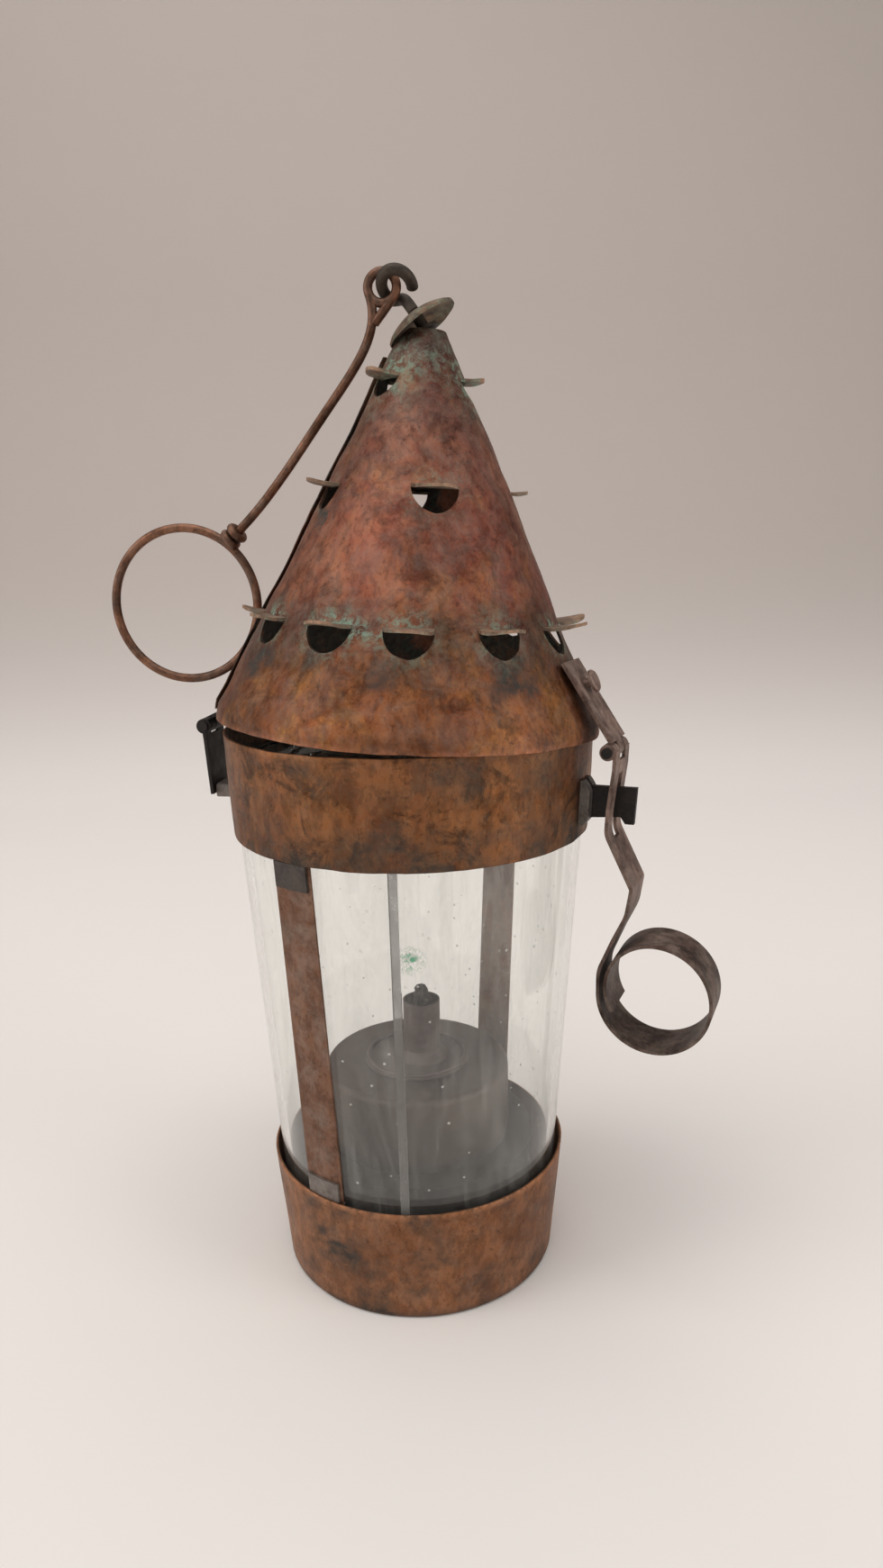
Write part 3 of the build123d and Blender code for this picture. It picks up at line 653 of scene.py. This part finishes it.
# ---------------------------------------------------------------- hood cone
def build_hood():
    section = skin_section(HOOD_PROFILE, SHEET, 1.7)
    verts, faces = lathe(section, 208)
    me = bpy.data.meshes.new("hood")
    me.from_pydata([tuple(c * MM for c in v) for v in verts], [], faces)
    ob = bpy.data.objects.new("hood_skin", me)
    bpy.context.scene.collection.objects.link(ob)
    bm = bmesh.new()
    bm.from_mesh(me)
    bmesh.ops.recalc_face_normals(bm, faces=bm.faces)
    bm.to_mesh(me)
    bm.free()
    # the half-round holes, in one cutter
    cv, cf = [], []
    for bend_z, half_w, azimuths, _ in LOUVERS:
        wall = cone_r(bend_z)
        for az in azimuths:
            a = math.radians(az)
            u, v = (math.cos(a), math.sin(a)), (-math.sin(a), math.cos(a))
            n = 22
            turns = [math.pi * k / n for k in range(n + 1)]
            outline = [(half_w * math.cos(t), -half_w * math.sin(t)) for t in turns]
            outline = [
                (s * (1 + 0.02 * fbm(s, t, az, 0.4, 1.0, 2)), t * (1 + 0.05 * fbm(s, t, az, 0.3, 4.0, 2)))
                for s, t in outline
            ]
            base = len(cv)
            for depth in (wall - 9.0, wall + 10.0):
                for s, t in outline:
                    cv.append((depth * u[0] + s * v[0], depth * u[1] + s * v[1], bend_z + t))
            m = len(outline)
            cf.append(tuple(base + k for k in range(m)))
            cf.append(tuple(base + m + k for k in reversed(range(m))))
            for k in range(m):
                l = (k + 1) % m
                cf.append((base + k, base + m + k, base + m + l, base + l))
    cme = bpy.data.meshes.new("holes")
    cme.from_pydata([tuple(c * MM for c in p) for p in cv], [], cf)
    cutter = bpy.data.objects.new("holes", cme)
    bpy.context.scene.collection.objects.link(cutter)
    bm = bmesh.new()
    bm.from_mesh(cme)
    bmesh.ops.recalc_face_normals(bm, faces=bm.faces)
    bm.to_mesh(cme)
    bm.free()
    cut(ob, cutter)
    # the slanting cut under the cap
    bm = bmesh.new()
    bm.from_mesh(ob.data)
    for vert in bm.verts:
        p = hood_dent((vert.co.x / MM, vert.co.y / MM, vert.co.z / MM))
        vert.co = Vector(lean(p)) * MM
    up = Vector((math.sin(CAP_LEAN), 0, math.cos(CAP_LEAN)))
    bmesh.ops.bisect_plane(
        bm,
        geom=bm.verts[:] + bm.edges[:] + bm.faces[:],
        plane_co=(Vector((CAP_C[0], 0, CAP_C[1])) - up * 0.6) * MM,
        plane_no=up,
        clear_outer=True,
    )
    edges = [e for e in bm.edges if e.is_boundary]
    if edges:
        bmesh.ops.holes_fill(bm, edges=edges)
    bmesh.ops.triangulate(bm, faces=[f for f in bm.faces if len(f.verts) > 4])
    bm.to_mesh(ob.data)
    bm.free()
    finish_mesh(ob, 32.0)
    ob.data.materials.append(HOOD_CU)
    paint(ob, hood_mask)
    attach(ob, "hood")
    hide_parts("hood_cone")
    return ob


# ---------------------------------------------------------------- louver flaps
LONG_FLAPS, LONG_FLAP_FACTOR = (-14.3, 20.1), 1.45
FLAP_ROUNDNESS, FLAP_ROOT, FLAP_THICKNESS = 0.985, 1.6, 0.78


def build_flaps():
    for (bend_z, half_w, azimuths, lifts), row in zip(LOUVERS, ("upper", "middle", "lower")):
        verts, faces = [], []
        wall = cone_r(bend_z)
        for az, lift_deg in zip(azimuths, lifts):
            rnd = random.Random(int(az * 10) + int(bend_z))
            a = math.radians(az)
            lift = math.radians(lift_deg)
            droop = rnd.uniform(-0.02, 0.05)
            twist = rnd.uniform(-0.05, 0.05)
            nu, nv = 14, 18
            grid = {}
            for side in (0, 1):
                for i in range(nu + 1):
                    for j in range(nv + 1):
                        v = j / nv * 2 - 1
                        u = i / nu
                        # a half disc: full width at the bend, round towards the tip
                        reach = half_w * math.sqrt(max(0.0, 1 - (v * FLAP_ROUNDNESS) ** 2))
                        if row == "lower" and az in LONG_FLAPS:
                            reach *= LONG_FLAP_FACTOR
                        s = v * half_w * FLAP_ROUNDNESS
                        t = u * (reach + FLAP_ROOT) - FLAP_ROOT
                        edge = fbm(s, t, az, 0.35, 2.0, 2) * 0.16 * u
                        t += edge
                        d = max(0.0, t)
                        curl = droop * d * d * 0.35 - 0.012 * s * s * min(1.0, d / 2.0)
                        zz = math.tan(lift) * t + curl + twist * s * min(1.0, d / 2.0)
                        zz += 0.10 * fbm(s, t, az, 0.25, 9.0, 2)
                        if t < 0:
                            zz = math.tan(lift) * t
                        zz += 0.05 + (FLAP_THICKNESS if side else 0.0)
                        x = wall - 0.15 + t
                        # rows follow the wall: away from the middle the wall falls back
                        back = wall - math.sqrt(max(0.0, wall * wall - s * s))
                        x -= back * (1.0 if t < 0.2 else max(0.0, 1 - t / 3.0))
                        grid[side, i, j] = len(verts)
                        px = x * math.cos(a) - s * math.sin(a)
                        py = x * math.sin(a) + s * math.cos(a)
                        verts.append(lean((px, py, bend_z + zz)))
            for i in range(nu):
                for j in range(nv):
                    faces.append((grid[1, i, j], grid[1, i + 1, j], grid[1, i + 1, j + 1], grid[1, i, j + 1]))
                    faces.append((grid[0, i, j], grid[0, i, j + 1], grid[0, i + 1, j + 1], grid[0, i + 1, j]))
            for j in range(nv):
                faces.append((grid[0, nu, j], grid[0, nu, j + 1], grid[1, nu, j + 1], grid[1, nu, j]))
                faces.append((grid[0, 0, j + 1], grid[0, 0, j], grid[1, 0, j], grid[1, 0, j + 1]))
            for i in range(nu):
                faces.append((grid[0, i, 0], grid[0, i + 1, 0], grid[1, i + 1, 0], grid[1, i, 0]))
                faces.append((grid[0, i + 1, nv], grid[0, i, nv], grid[1, i, nv], grid[1, i + 1, nv]))

        def mask(x, y, z, row=row, bend_z=bend_z, wall=wall):
            hx, hy, hz = unlean(x, y, z)
            out = max(0.0, math.hypot(hx, hy) - wall)
            k = {"upper": 0.9, "middle": 0.4, "lower": 0.55}[row]
            under = 1.0 if hz < bend_z + 0.25 + math.tan(math.radians(3)) * out else 0.25
            edge = max(0.0, out - (4.3 if row != "upper" else 3.2)) / 1.2
            return (k * under, 0.12, 0.6 * min(1.0, edge))

        stands_for = (f"louver_flaps_{row}",)
        add(f"flaps_{row}", verts, faces, FLAP_CU, "hood", stands_for, 30.0, mask)


# ---------------------------------------------------------------- lap seam
LAP_MID, LAP_HALF = math.radians(182.0), math.radians(8.5)
LAP_FOOT, LAP_LENGTH, LAP_THICKNESS, LAP_LIFT = 0.4, 93.4, 0.28, 0.9


def build_lap():
    rows, cols = 60, 6
    verts, faces = [], []
    idx = {}
    for side in (0, 1):
        for i in range(rows + 1):
            z = LAP_FOOT + LAP_LENGTH * i / rows
            for j in range(cols + 1):
                # the free edge stands off the cone
                lifted = LAP_LIFT * (j / cols) ** 6
                r = cone_r(z) + 0.05 + lifted + (LAP_THICKNESS if side else 0.0)
                a = LAP_MID - LAP_HALF + 2 * LAP_HALF * j / cols
                wob = 0.5 * fbm(z, j, 0, 0.05, 4.0, 2) / max(r, 8.0) * 2.0
                b = a + wob * (1 if j in (0, cols) else 0.4)
                p = hood_dent((r * math.cos(b), r * math.sin(b), z))
                idx[side, i, j] = len(verts)
                verts.append(lean(p))
    for i in range(rows):
        for j in range(cols):
            faces.append((idx[1, i, j], idx[1, i, j + 1], idx[1, i + 1, j + 1], idx[1, i + 1, j]))
            faces.append((idx[0, i, j], idx[0, i + 1, j], idx[0, i + 1, j + 1], idx[0, i, j + 1]))
        faces.append((idx[0, i, 0], idx[1, i, 0], idx[1, i + 1, 0], idx[0, i + 1, 0]))
        faces.append((idx[1, i, cols], idx[0, i, cols], idx[0, i + 1, cols], idx[1, i + 1, cols]))
    for j in range(cols):
        faces.append((idx[0, 0, j + 1], idx[1, 0, j + 1], idx[1, 0, j], idx[0, 0, j]))
        faces.append((idx[0, rows, j], idx[1, rows, j], idx[1, rows, j + 1], idx[0, rows, j + 1]))

    def mask(x, y, z):
        hx, hy, _ = unlean(x, y, z)
        edge = max(0.0, 1 - abs(math.degrees(math.atan2(hy, hx)) + 169.5) / 3.0)
        return (0.1 + 0.3 * max(0.0, fbm(x, y, z, 0.06, 3.0, 2)), 0.2 + 0.8 * edge, 0.2 * (1 - edge))

    add("lap_seam", verts, faces, HOOD_CU, "hood", ("hood_lap",), 35.0, mask)


# ---------------------------------------------------------------- band, cup, glass
def ring_warp(amp, freq, seed, z0, z1, edge=0.0):
    """Dents of a soldered ring; edge waves its two ends."""

    def warp(p):
        x, y, z = p
        r = math.hypot(x, y)
        d = amp * fbm(x, y, z, freq, seed, 2) + amp * 0.35 * fbm(x, y, z, freq * 3.2, seed + 4, 2)
        k = (r + min(0.02, d) if r > 1 else r) / r
        t = (z - z0) / (z1 - z0)
        dz = edge * fbm(x, y, 0.0, 0.05, seed + 9, 3) * (1.0 if t > 0.5 else -1.0) * (abs(t - 0.5) * 2) ** 2
        if t > 0.5:
            dz = min(0.0, dz - edge * 0.3)
        else:
            dz = max(0.0, dz + edge * 0.3)
        return (x * k, y * k, z + dz)

    return warp


def build_band():
    (z0, r0), (z1, r1) = BAND
    section = skin_section([(r0, z0), (r1, z1)], SHEET, 1.6, 0.2)
    verts, faces = lathe(section, 200, warp=ring_warp(0.16, 0.05, 2.0, z0, z1, 0.28))

    def mask(x, y, z):
        r = math.hypot(x, y)
        ang = math.degrees(math.atan2(y, x))
        inside = r < r0 + (r1 - r0) * (z - z0) / (z1 - z0) - 0.55
        if inside:
            return (0.0, 0.95, 0.0)
        t = (z - z0) / (z1 - z0)
        patch = max(0.0, fbm(x, y, z, 0.06, 31.0, 4) + 0.10)
        low = max(0.0, 1 - t / 0.42) * (0.55 + 0.6 * fbm(x, y, z, 0.11, 14.0, 3))
        right = 0.35 + 0.65 * max(0.0, math.cos(math.radians(ang + 45)))
        soot = low * right * 1.3 + 0.7 * patch * (0.4 + 0.6 * right)
        rim = max(0.0, 1 - (z1 - z) / 1.2) * 0.5
        return (0.05, soot, rim)

    add("band_ring", verts, faces, BAND_CU, "lantern", ("upper_band",), 35.0, mask)


def build_cup():
    (z0, r0), (z1, r1) = CUP
    t = SHEET
    outer = [(r0 - 1.2, z0), (r0 - 0.35, z0 + 0.3), (r0, z0 + 1.1), (r1, z1 - 0.3), (r1 - 0.15, z1)]
    outer += [(r1 - t + 0.12, z1 - 0.02)]
    inner = [(r1 - t, z1 - 0.3), (r0 - t, z0 + 1.3), (r0 - t - 0.05, z0 + 0.05)]
    section = subdivided(outer[:3], 0.6)[:-1] + subdivided(outer[2:4], 1.6)[:-1] + outer[3:]
    section += subdivided(inner[:2], 1.6)[:-1] + inner[1:]
    section[-1] = (r0 - t - 0.05, z0 + 0.0)
    verts, faces = lathe(section, 200, warp=ring_warp(0.13, 0.05, 6.0, z0, z1, 0.0))

    def mask(x, y, z):
        r = math.hypot(x, y)
        inside = r < r0 + (r1 - r0) * z / z1 - 0.55
        if inside:
            # the inside of the cup is darkened: painted shade
            return (0.05, 0.55, 0.0)
        foot = max(0.0, 1 - z / 3.0) * 0.75
        patch = max(0.0, fbm(x, y, z, 0.07, 17.0, 4) - 0.12) * 1.1
        # a scratched dark patch at the front left
        turn = (math.degrees(math.atan2(y, x)) + 114.0) / 12.0
        spot = math.exp(-(turn**2) - ((z - 19.0) / 6.5) ** 2)
        patch += 1.2 * spot * (0.85 + 0.9 * fbm(x, y, z * 3.0, 0.16, 23.0, 4))
        rim = max(0.0, 1 - (z1 - z) / 0.8) * 0.8
        return (0.03, foot + patch, rim)

    add("cup_wall", verts, faces, CUP_CU, "lantern", ("base_wall",), 40.0, mask)


def build_glass():
    (z0, r0), (z1, r1) = GLASS
    b = 0.5
    section = (
        subdivided([(r0, z0 + b), (r1, z1 - b)], 6.0)
        + [(r1 - 0.2, z1 - 0.12), (r1 - b, z1), (r1 - GLASS_T + b, z1), (r1 - GLASS_T + 0.2, z1 - 0.12)]
        + subdivided([(r1 - GLASS_T, z1 - b), (r0 - GLASS_T, z0 + b)], 6.0)
        + [(r0 - GLASS_T + 0.2, z0 + 0.12), (r0 - GLASS_T + b, z0), (r0 - b, z0), (r0 - 0.2, z0 + 0.12)]
    )
    half = GLASS_SPLIT / 2 / 44.0
    verts, faces = lathe(section, 180, GLASS_SPLIT_AZ + half, 2 * math.pi - 2 * half)
    add("glass_wall", verts, faces, GLASS_M, "lantern", ("glass_chimney",), 50.0)


# ---------------------------------------------------------------- cap
def build_cap():
    dome = (CAP_R**2 + CAP_RISE**2) / (2 * CAP_RISE)
    rings, segs = 12, 96
    verts, faces = [], []
    idx = {}
    hole = 1.53
    c, s = math.cos(CAP_LEAN), math.sin(CAP_LEAN)
    for side in (0, 1):
        for i in range(rings + 1):
            r = hole + (CAP_R - hole) * i / rings
            for j in range(segs):
                a = 2 * math.pi * j / segs
                ragged = 0.018 * fbm(math.cos(a) * 9, math.sin(a) * 9, 0, 0.12, 6.0, 2) - 0.012
                rr = r * (1 + ragged * (i / rings))
                x, y = rr * math.cos(a), rr * math.sin(a)
                z = CAP_RISE - dome + math.sqrt(dome * dome - r * r)
                z += 0.22 * fbm(x, y, 0, 0.14, 3.0, 2) * (i / rings) ** 2 - (SHEET if not side else 0.0)
                if i == rings and side:
                    z -= 0.15
                px, pz = x * c + z * s, -x * s + z * c
                idx[side, i, j] = len(verts)
                verts.append((px + CAP_C[0], y, pz + CAP_C[1]))
    for i in range(rings):
        for j in range(segs):
            k = (j + 1) % segs
            faces.append((idx[1, i, j], idx[1, i + 1, j], idx[1, i + 1, k], idx[1, i, k]))
            faces.append((idx[0, i, j], idx[0, i, k], idx[0, i + 1, k], idx[0, i + 1, j]))
    for j in range(segs):
        k = (j + 1) % segs
        faces.append((idx[1, rings, j], idx[0, rings, j], idx[0, rings, k], idx[1, rings, k]))
        faces.append((idx[0, 0, j], idx[1, 0, j], idx[1, 0, k], idx[0, 0, k]))

    def mask(x, y, z):
        return (0.35 + 0.5 * fbm(x, y, z, 0.12, 5.0, 3), 0.35 + 0.5 * fbm(x, y, z, 0.2, 25.0, 3), 0.3)

    add("cap_dome", verts, faces, CAP_CU, "hood", ("cap_disc",), 35.0, mask)


# ---------------------------------------------------------------- wick and burner disc
def build_wick():
    """A braid that fills the tube out of sight and stands out of it only as a small charred tuft."""
    lo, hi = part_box("wick")
    z0, z1 = lo[2] / MM + 0.1, hi[2] / MM - 0.1
    cx = (lo[0] + hi[0]) / 2 / MM
    tube_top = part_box("wick_tube")[1][2] / MM
    full = (hi[0] - lo[0]) / 2 / MM - 0.15
    heights = [(z0, full * 0.9), (z0 + 1.5, full), (tube_top - 4.0, full), (tube_top - 2.0, full * 0.82)]
    heights += [(tube_top - 0.6, 2.5), (tube_top + 0.6, 2.05), (tube_top + 1.8, 1.95)]
    heights += [(z1 - 1.2, 1.75), (z1 - 0.3, 1.2), (z1, 0.5)]
    levels = subdivided([(r, z) for z, r in heights], 0.35)
    segs = 56
    verts, faces = [], []
    for r, z in levels:
        for j in range(segs):
            a = 2 * math.pi * j / segs
            strand = 0.16 * math.sin(9 * a + z * 1.4) + 0.10 * math.sin(9 * a - z * 1.4)
            k = r * (1 + 0.22 * fbm(math.cos(a) * 3, math.sin(a) * 3, z, 0.35, 4.0, 3)) + strand * min(1.0, r)
            k = min(k, full)
            frayed = z + 0.3 * fbm(math.cos(a) * 3, math.sin(a) * 3, z, 0.6, 2.0, 2)
            verts.append((cx + k * math.cos(a), k * math.sin(a), min(z1, frayed)))
    n = len(levels)
    for i in range(n - 1):
        for j in range(segs):
            k = (j + 1) % segs
            faces.append((i * segs + j, i * segs + k, (i + 1) * segs + k, (i + 1) * segs + j))
    faces.append(tuple(reversed(range(segs))))
    faces.append(tuple((n - 1) * segs + j for j in range(segs)))
    add("wick_tuft", verts, faces, WICK_M, "burner", ("wick",), 60.0)


def build_burner_rim():
    """The rolled rim and the low collar of the burner disc, on the flat CAD plate."""
    lo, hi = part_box("burner_plate")
    top, r = hi[2] / MM, (hi[0] - lo[0]) / 2 / MM
    bead = 0.62

    def uneven(p):
        return (p[0], p[1], p[2] + 0.12 * fbm(p[0], p[1], 0, 0.12, 3.0, 2))

    turns = [math.pi * 2 * k / 10 for k in range(10)]
    section = [(r - 0.95 + bead * math.cos(t), top + 0.25 + bead * math.sin(t)) for t in turns]
    verts, faces = lathe(section, 120, warp=uneven)
    add("burner_rim", verts, faces, TIN, "burner", (), 50.0)
    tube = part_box("wick_tube")
    cx, tr = (tube[0][0] + tube[1][0]) / 2 / MM, (tube[1][0] - tube[0][0]) / 2 / MM
    steps = [(0.04, 0.04), (2.6, 0.04), (2.3, 0.5), (1.0, 1.1), (0.3, 2.3), (0.04, 2.6)]
    collar = [(tr + out, top + up) for out, up in steps]
    verts, faces = lathe(collar, 72)
    add("burner_collar", [(x + cx, y, z) for x, y, z in verts], faces, TIN, "burner", (), 40.0)


build_wick()
build_burner_rim()
build_hood()
build_flaps()
build_lap()
build_band()
build_cup()
build_glass()
build_cap()


# ---------------------------------------------------------------- carried-over CAD nodes
def keep(node, mat, bevel=0.0, angle=35.0):
    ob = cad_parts[node]
    ob.data.materials.clear()
    ob.data.materials.append(mat)
    for poly in ob.data.polygons:
        poly.material_index = 0
    if bevel:
        mod = ob.modifiers.new("edges", "BEVEL")
        mod.width = bevel * MM
        mod.segments = 2
        mod.limit_method = "ANGLE"
        mod.angle_limit = math.radians(angle)
        mod.harden_normals = False
    return ob


for node_name, mat, bevel in [
    ("base_plate", CUP_CU, 0.0),
    ("strut_front", STRUT_CU, 0.1),
    ("strut_rear", STRUT_CU, 0.1),
    ("solder_front_foot", SOLDER, 0.25),
    ("solder_front_top", DARK_SOLDER, 0.25),
    ("solder_rear_foot", SOLDER, 0.25),
    ("solder_rear_top", DARK_SOLDER, 0.25),
    ("glass_seam", PUTTY_M, 0.0),
    ("hinge_solder", SOLDER, 0.3),
    ("hinge_band_leaf", IRON, 0.15),
    ("hinge_pin", IRON, 0.1),
    ("staple_plate", IRON, 0.2),
    ("staple_solder", SOLDER, 0.3),
    ("hook_wire", HOOK_IRON, 0.0),
    ("hook_washer", HOOK_IRON, 0.1),
    ("hinge_hood_leaf", IRON, 0.15),
    ("hinge_hood_rivet", IRON, 0.0),
    ("hasp_hood_leaf", STRAP_CU, 0.15),
    ("hasp_leaf_rivet", STRAP_CU, 0.0),
    ("hasp_pin", IRON, 0.1),
    ("hasp_strap", STRAP_CU, 0.2),
    ("hanger_wire", WIRE_CU, 0.0),
    ("tank_drum", TIN, 0.15),
    ("tank_shoulder", TIN, 0.12),
    ("tank_font", TIN, 0.0),
    ("burner_plate", TIN, 0.0),
    ("wick_tube", TIN, 0.1),
]:
    keep(node_name, mat, bevel)


# ---------------------------------------------------------------- floor, backdrop, light, camera
def backdrop():
    """A floor that curves up into a wall behind, one sheet, with painted shade: the tone darkens slowly from
    floor to wall.
    """
    front, bend, radius, wall_top, half_width, drop = -1.2, 0.55, 0.5, 2.2, 2.4, 0.0002
    steps = 12
    verts, faces = [], []
    prof = [(front, 0.0), (bend, 0.0)]
    for k in range(1, steps + 1):
        a = math.pi / 2 * k / steps
        prof.append((bend + radius * math.sin(a), radius * (1 - math.cos(a))))
    prof.append((bend + radius, wall_top))
    for y, z in prof:
        verts += [(-half_width, y, z - drop), (half_width, y, z - drop)]
    for k in range(len(prof) - 1):
        faces.append((2 * k, 2 * k + 1, 2 * k + 3, 2 * k + 2))
    me = bpy.data.meshes.new("sweep")
    me.from_pydata(verts, [], faces)
    for p in me.polygons:
        p.use_smooth = True
    ob = bpy.data.objects.new("sweep", me)
    bpy.context.scene.collection.objects.link(ob)
    ob.rotation_euler = (0, 0, math.radians(11.0))
    m = Mat("paper_with_painted_shade")
    split = m.n("ShaderNodeSeparateXYZ")
    m.link(m.co, split.inputs[0])
    grain = m.noise(0.02, 3.0, 0.5)
    # painted shade: darker round the bend and up the wall
    tone = m.ramp(
        split.outputs[1],
        [(0.30, (0.80, 0.76, 0.725)), (0.55, (0.80, 0.76, 0.73)), (0.98, (0.46, 0.405, 0.375))],
        True,
    )
    m.put(m.bsdf.inputs["Base Color"], m.mix(m.math("MULTIPLY", grain, 0.05), tone, (0.62, 0.57, 0.53)))
    m.bsdf.inputs["Roughness"].default_value = 0.9
    m.bsdf.inputs["Specular IOR Level"].default_value = 0.1
    me.materials.append(m.m)


def area(name, at, to, size, power, colour=(1, 1, 1), spread=180.0):
    data = bpy.data.lights.new(name, "AREA")
    data.shape = "RECTANGLE"
    data.size, data.size_y = size
    data.energy = power
    data.color = colour
    data.spread = math.radians(spread)
    ob = bpy.data.objects.new(name, data)
    bpy.context.scene.collection.objects.link(ob)
    ob.location = at
    ob.rotation_euler = (Vector(to) - Vector(at)).to_track_quat("-Z", "Y").to_euler()
    return ob


backdrop()
area("key_top", (-0.15, -0.35, 1.25), (0, 0, 0.12), (1.1, 1.0), 8.2, (1.0, 0.985, 0.975))
area("left", (-1.1, -0.55, 0.55), (0, 0, 0.13), (0.7, 1.1), 5.8, (1.0, 0.98, 0.96))
area("back_floor", (-0.1, 0.55, 1.2), (0, 0.75, 0), (1.6, 0.6), 1.7, (1.0, 0.985, 0.975), 120.0)
area("right", (1.15, -0.35, 0.45), (0, 0, 0.13), (0.6, 1.0), 5.0, (1.0, 0.98, 0.96))

world = bpy.data.worlds.new("room")
bpy.context.scene.world = world
world.use_nodes = True
bg = world.node_tree.nodes["Background"]
bg.inputs[0].default_value = (0.86, 0.84, 0.82, 1)
bg.inputs[1].default_value = 0.45


CAMERA_TURNS = (11.0, 12.93, 1.74, -1.01)
CAMERA_DISTANCE, CAMERA_HEIGHT = 285.70 * MM, 207.03 * MM
FOCAL_SHARE, SENSOR = 0.6626077, 36.0


def camera():
    """The camera fitted to the round edges; its turns are azimuth, pitch, yaw and roll in degrees."""
    az, pitch, yaw, roll = (math.radians(v) for v in CAMERA_TURNS)
    h = Vector((-math.sin(az), math.cos(az), 0))
    h = Vector((h.x * math.cos(yaw) + h.y * math.sin(yaw), -h.x * math.sin(yaw) + h.y * math.cos(yaw), 0))
    fw = h * math.cos(pitch) + Vector((0, 0, -math.sin(pitch)))
    right = fw.cross(Vector((0, 0, 1))).normalized()
    up = right.cross(fw)
    r2 = right * math.cos(roll) + up * math.sin(roll)
    u2 = -right * math.sin(roll) + up * math.cos(roll)
    cam = bpy.data.cameras.new("camera")
    cam.sensor_fit = "VERTICAL"
    cam.sensor_height = SENSOR
    cam.lens = FOCAL_SHARE * SENSOR
    cam.clip_start, cam.clip_end = 0.01, 20.0
    ob = bpy.data.objects.new("camera", cam)
    bpy.context.scene.collection.objects.link(ob)
    rot = Matrix((r2, u2, -fw)).transposed().to_4x4()
    at = (CAMERA_DISTANCE * math.sin(az), -CAMERA_DISTANCE * math.cos(az), CAMERA_HEIGHT)
    ob.matrix_world = Matrix.Translation(at) @ rot
    bpy.context.scene.camera = ob


camera()
bpy.context.scene.view_settings.view_transform = "Standard"
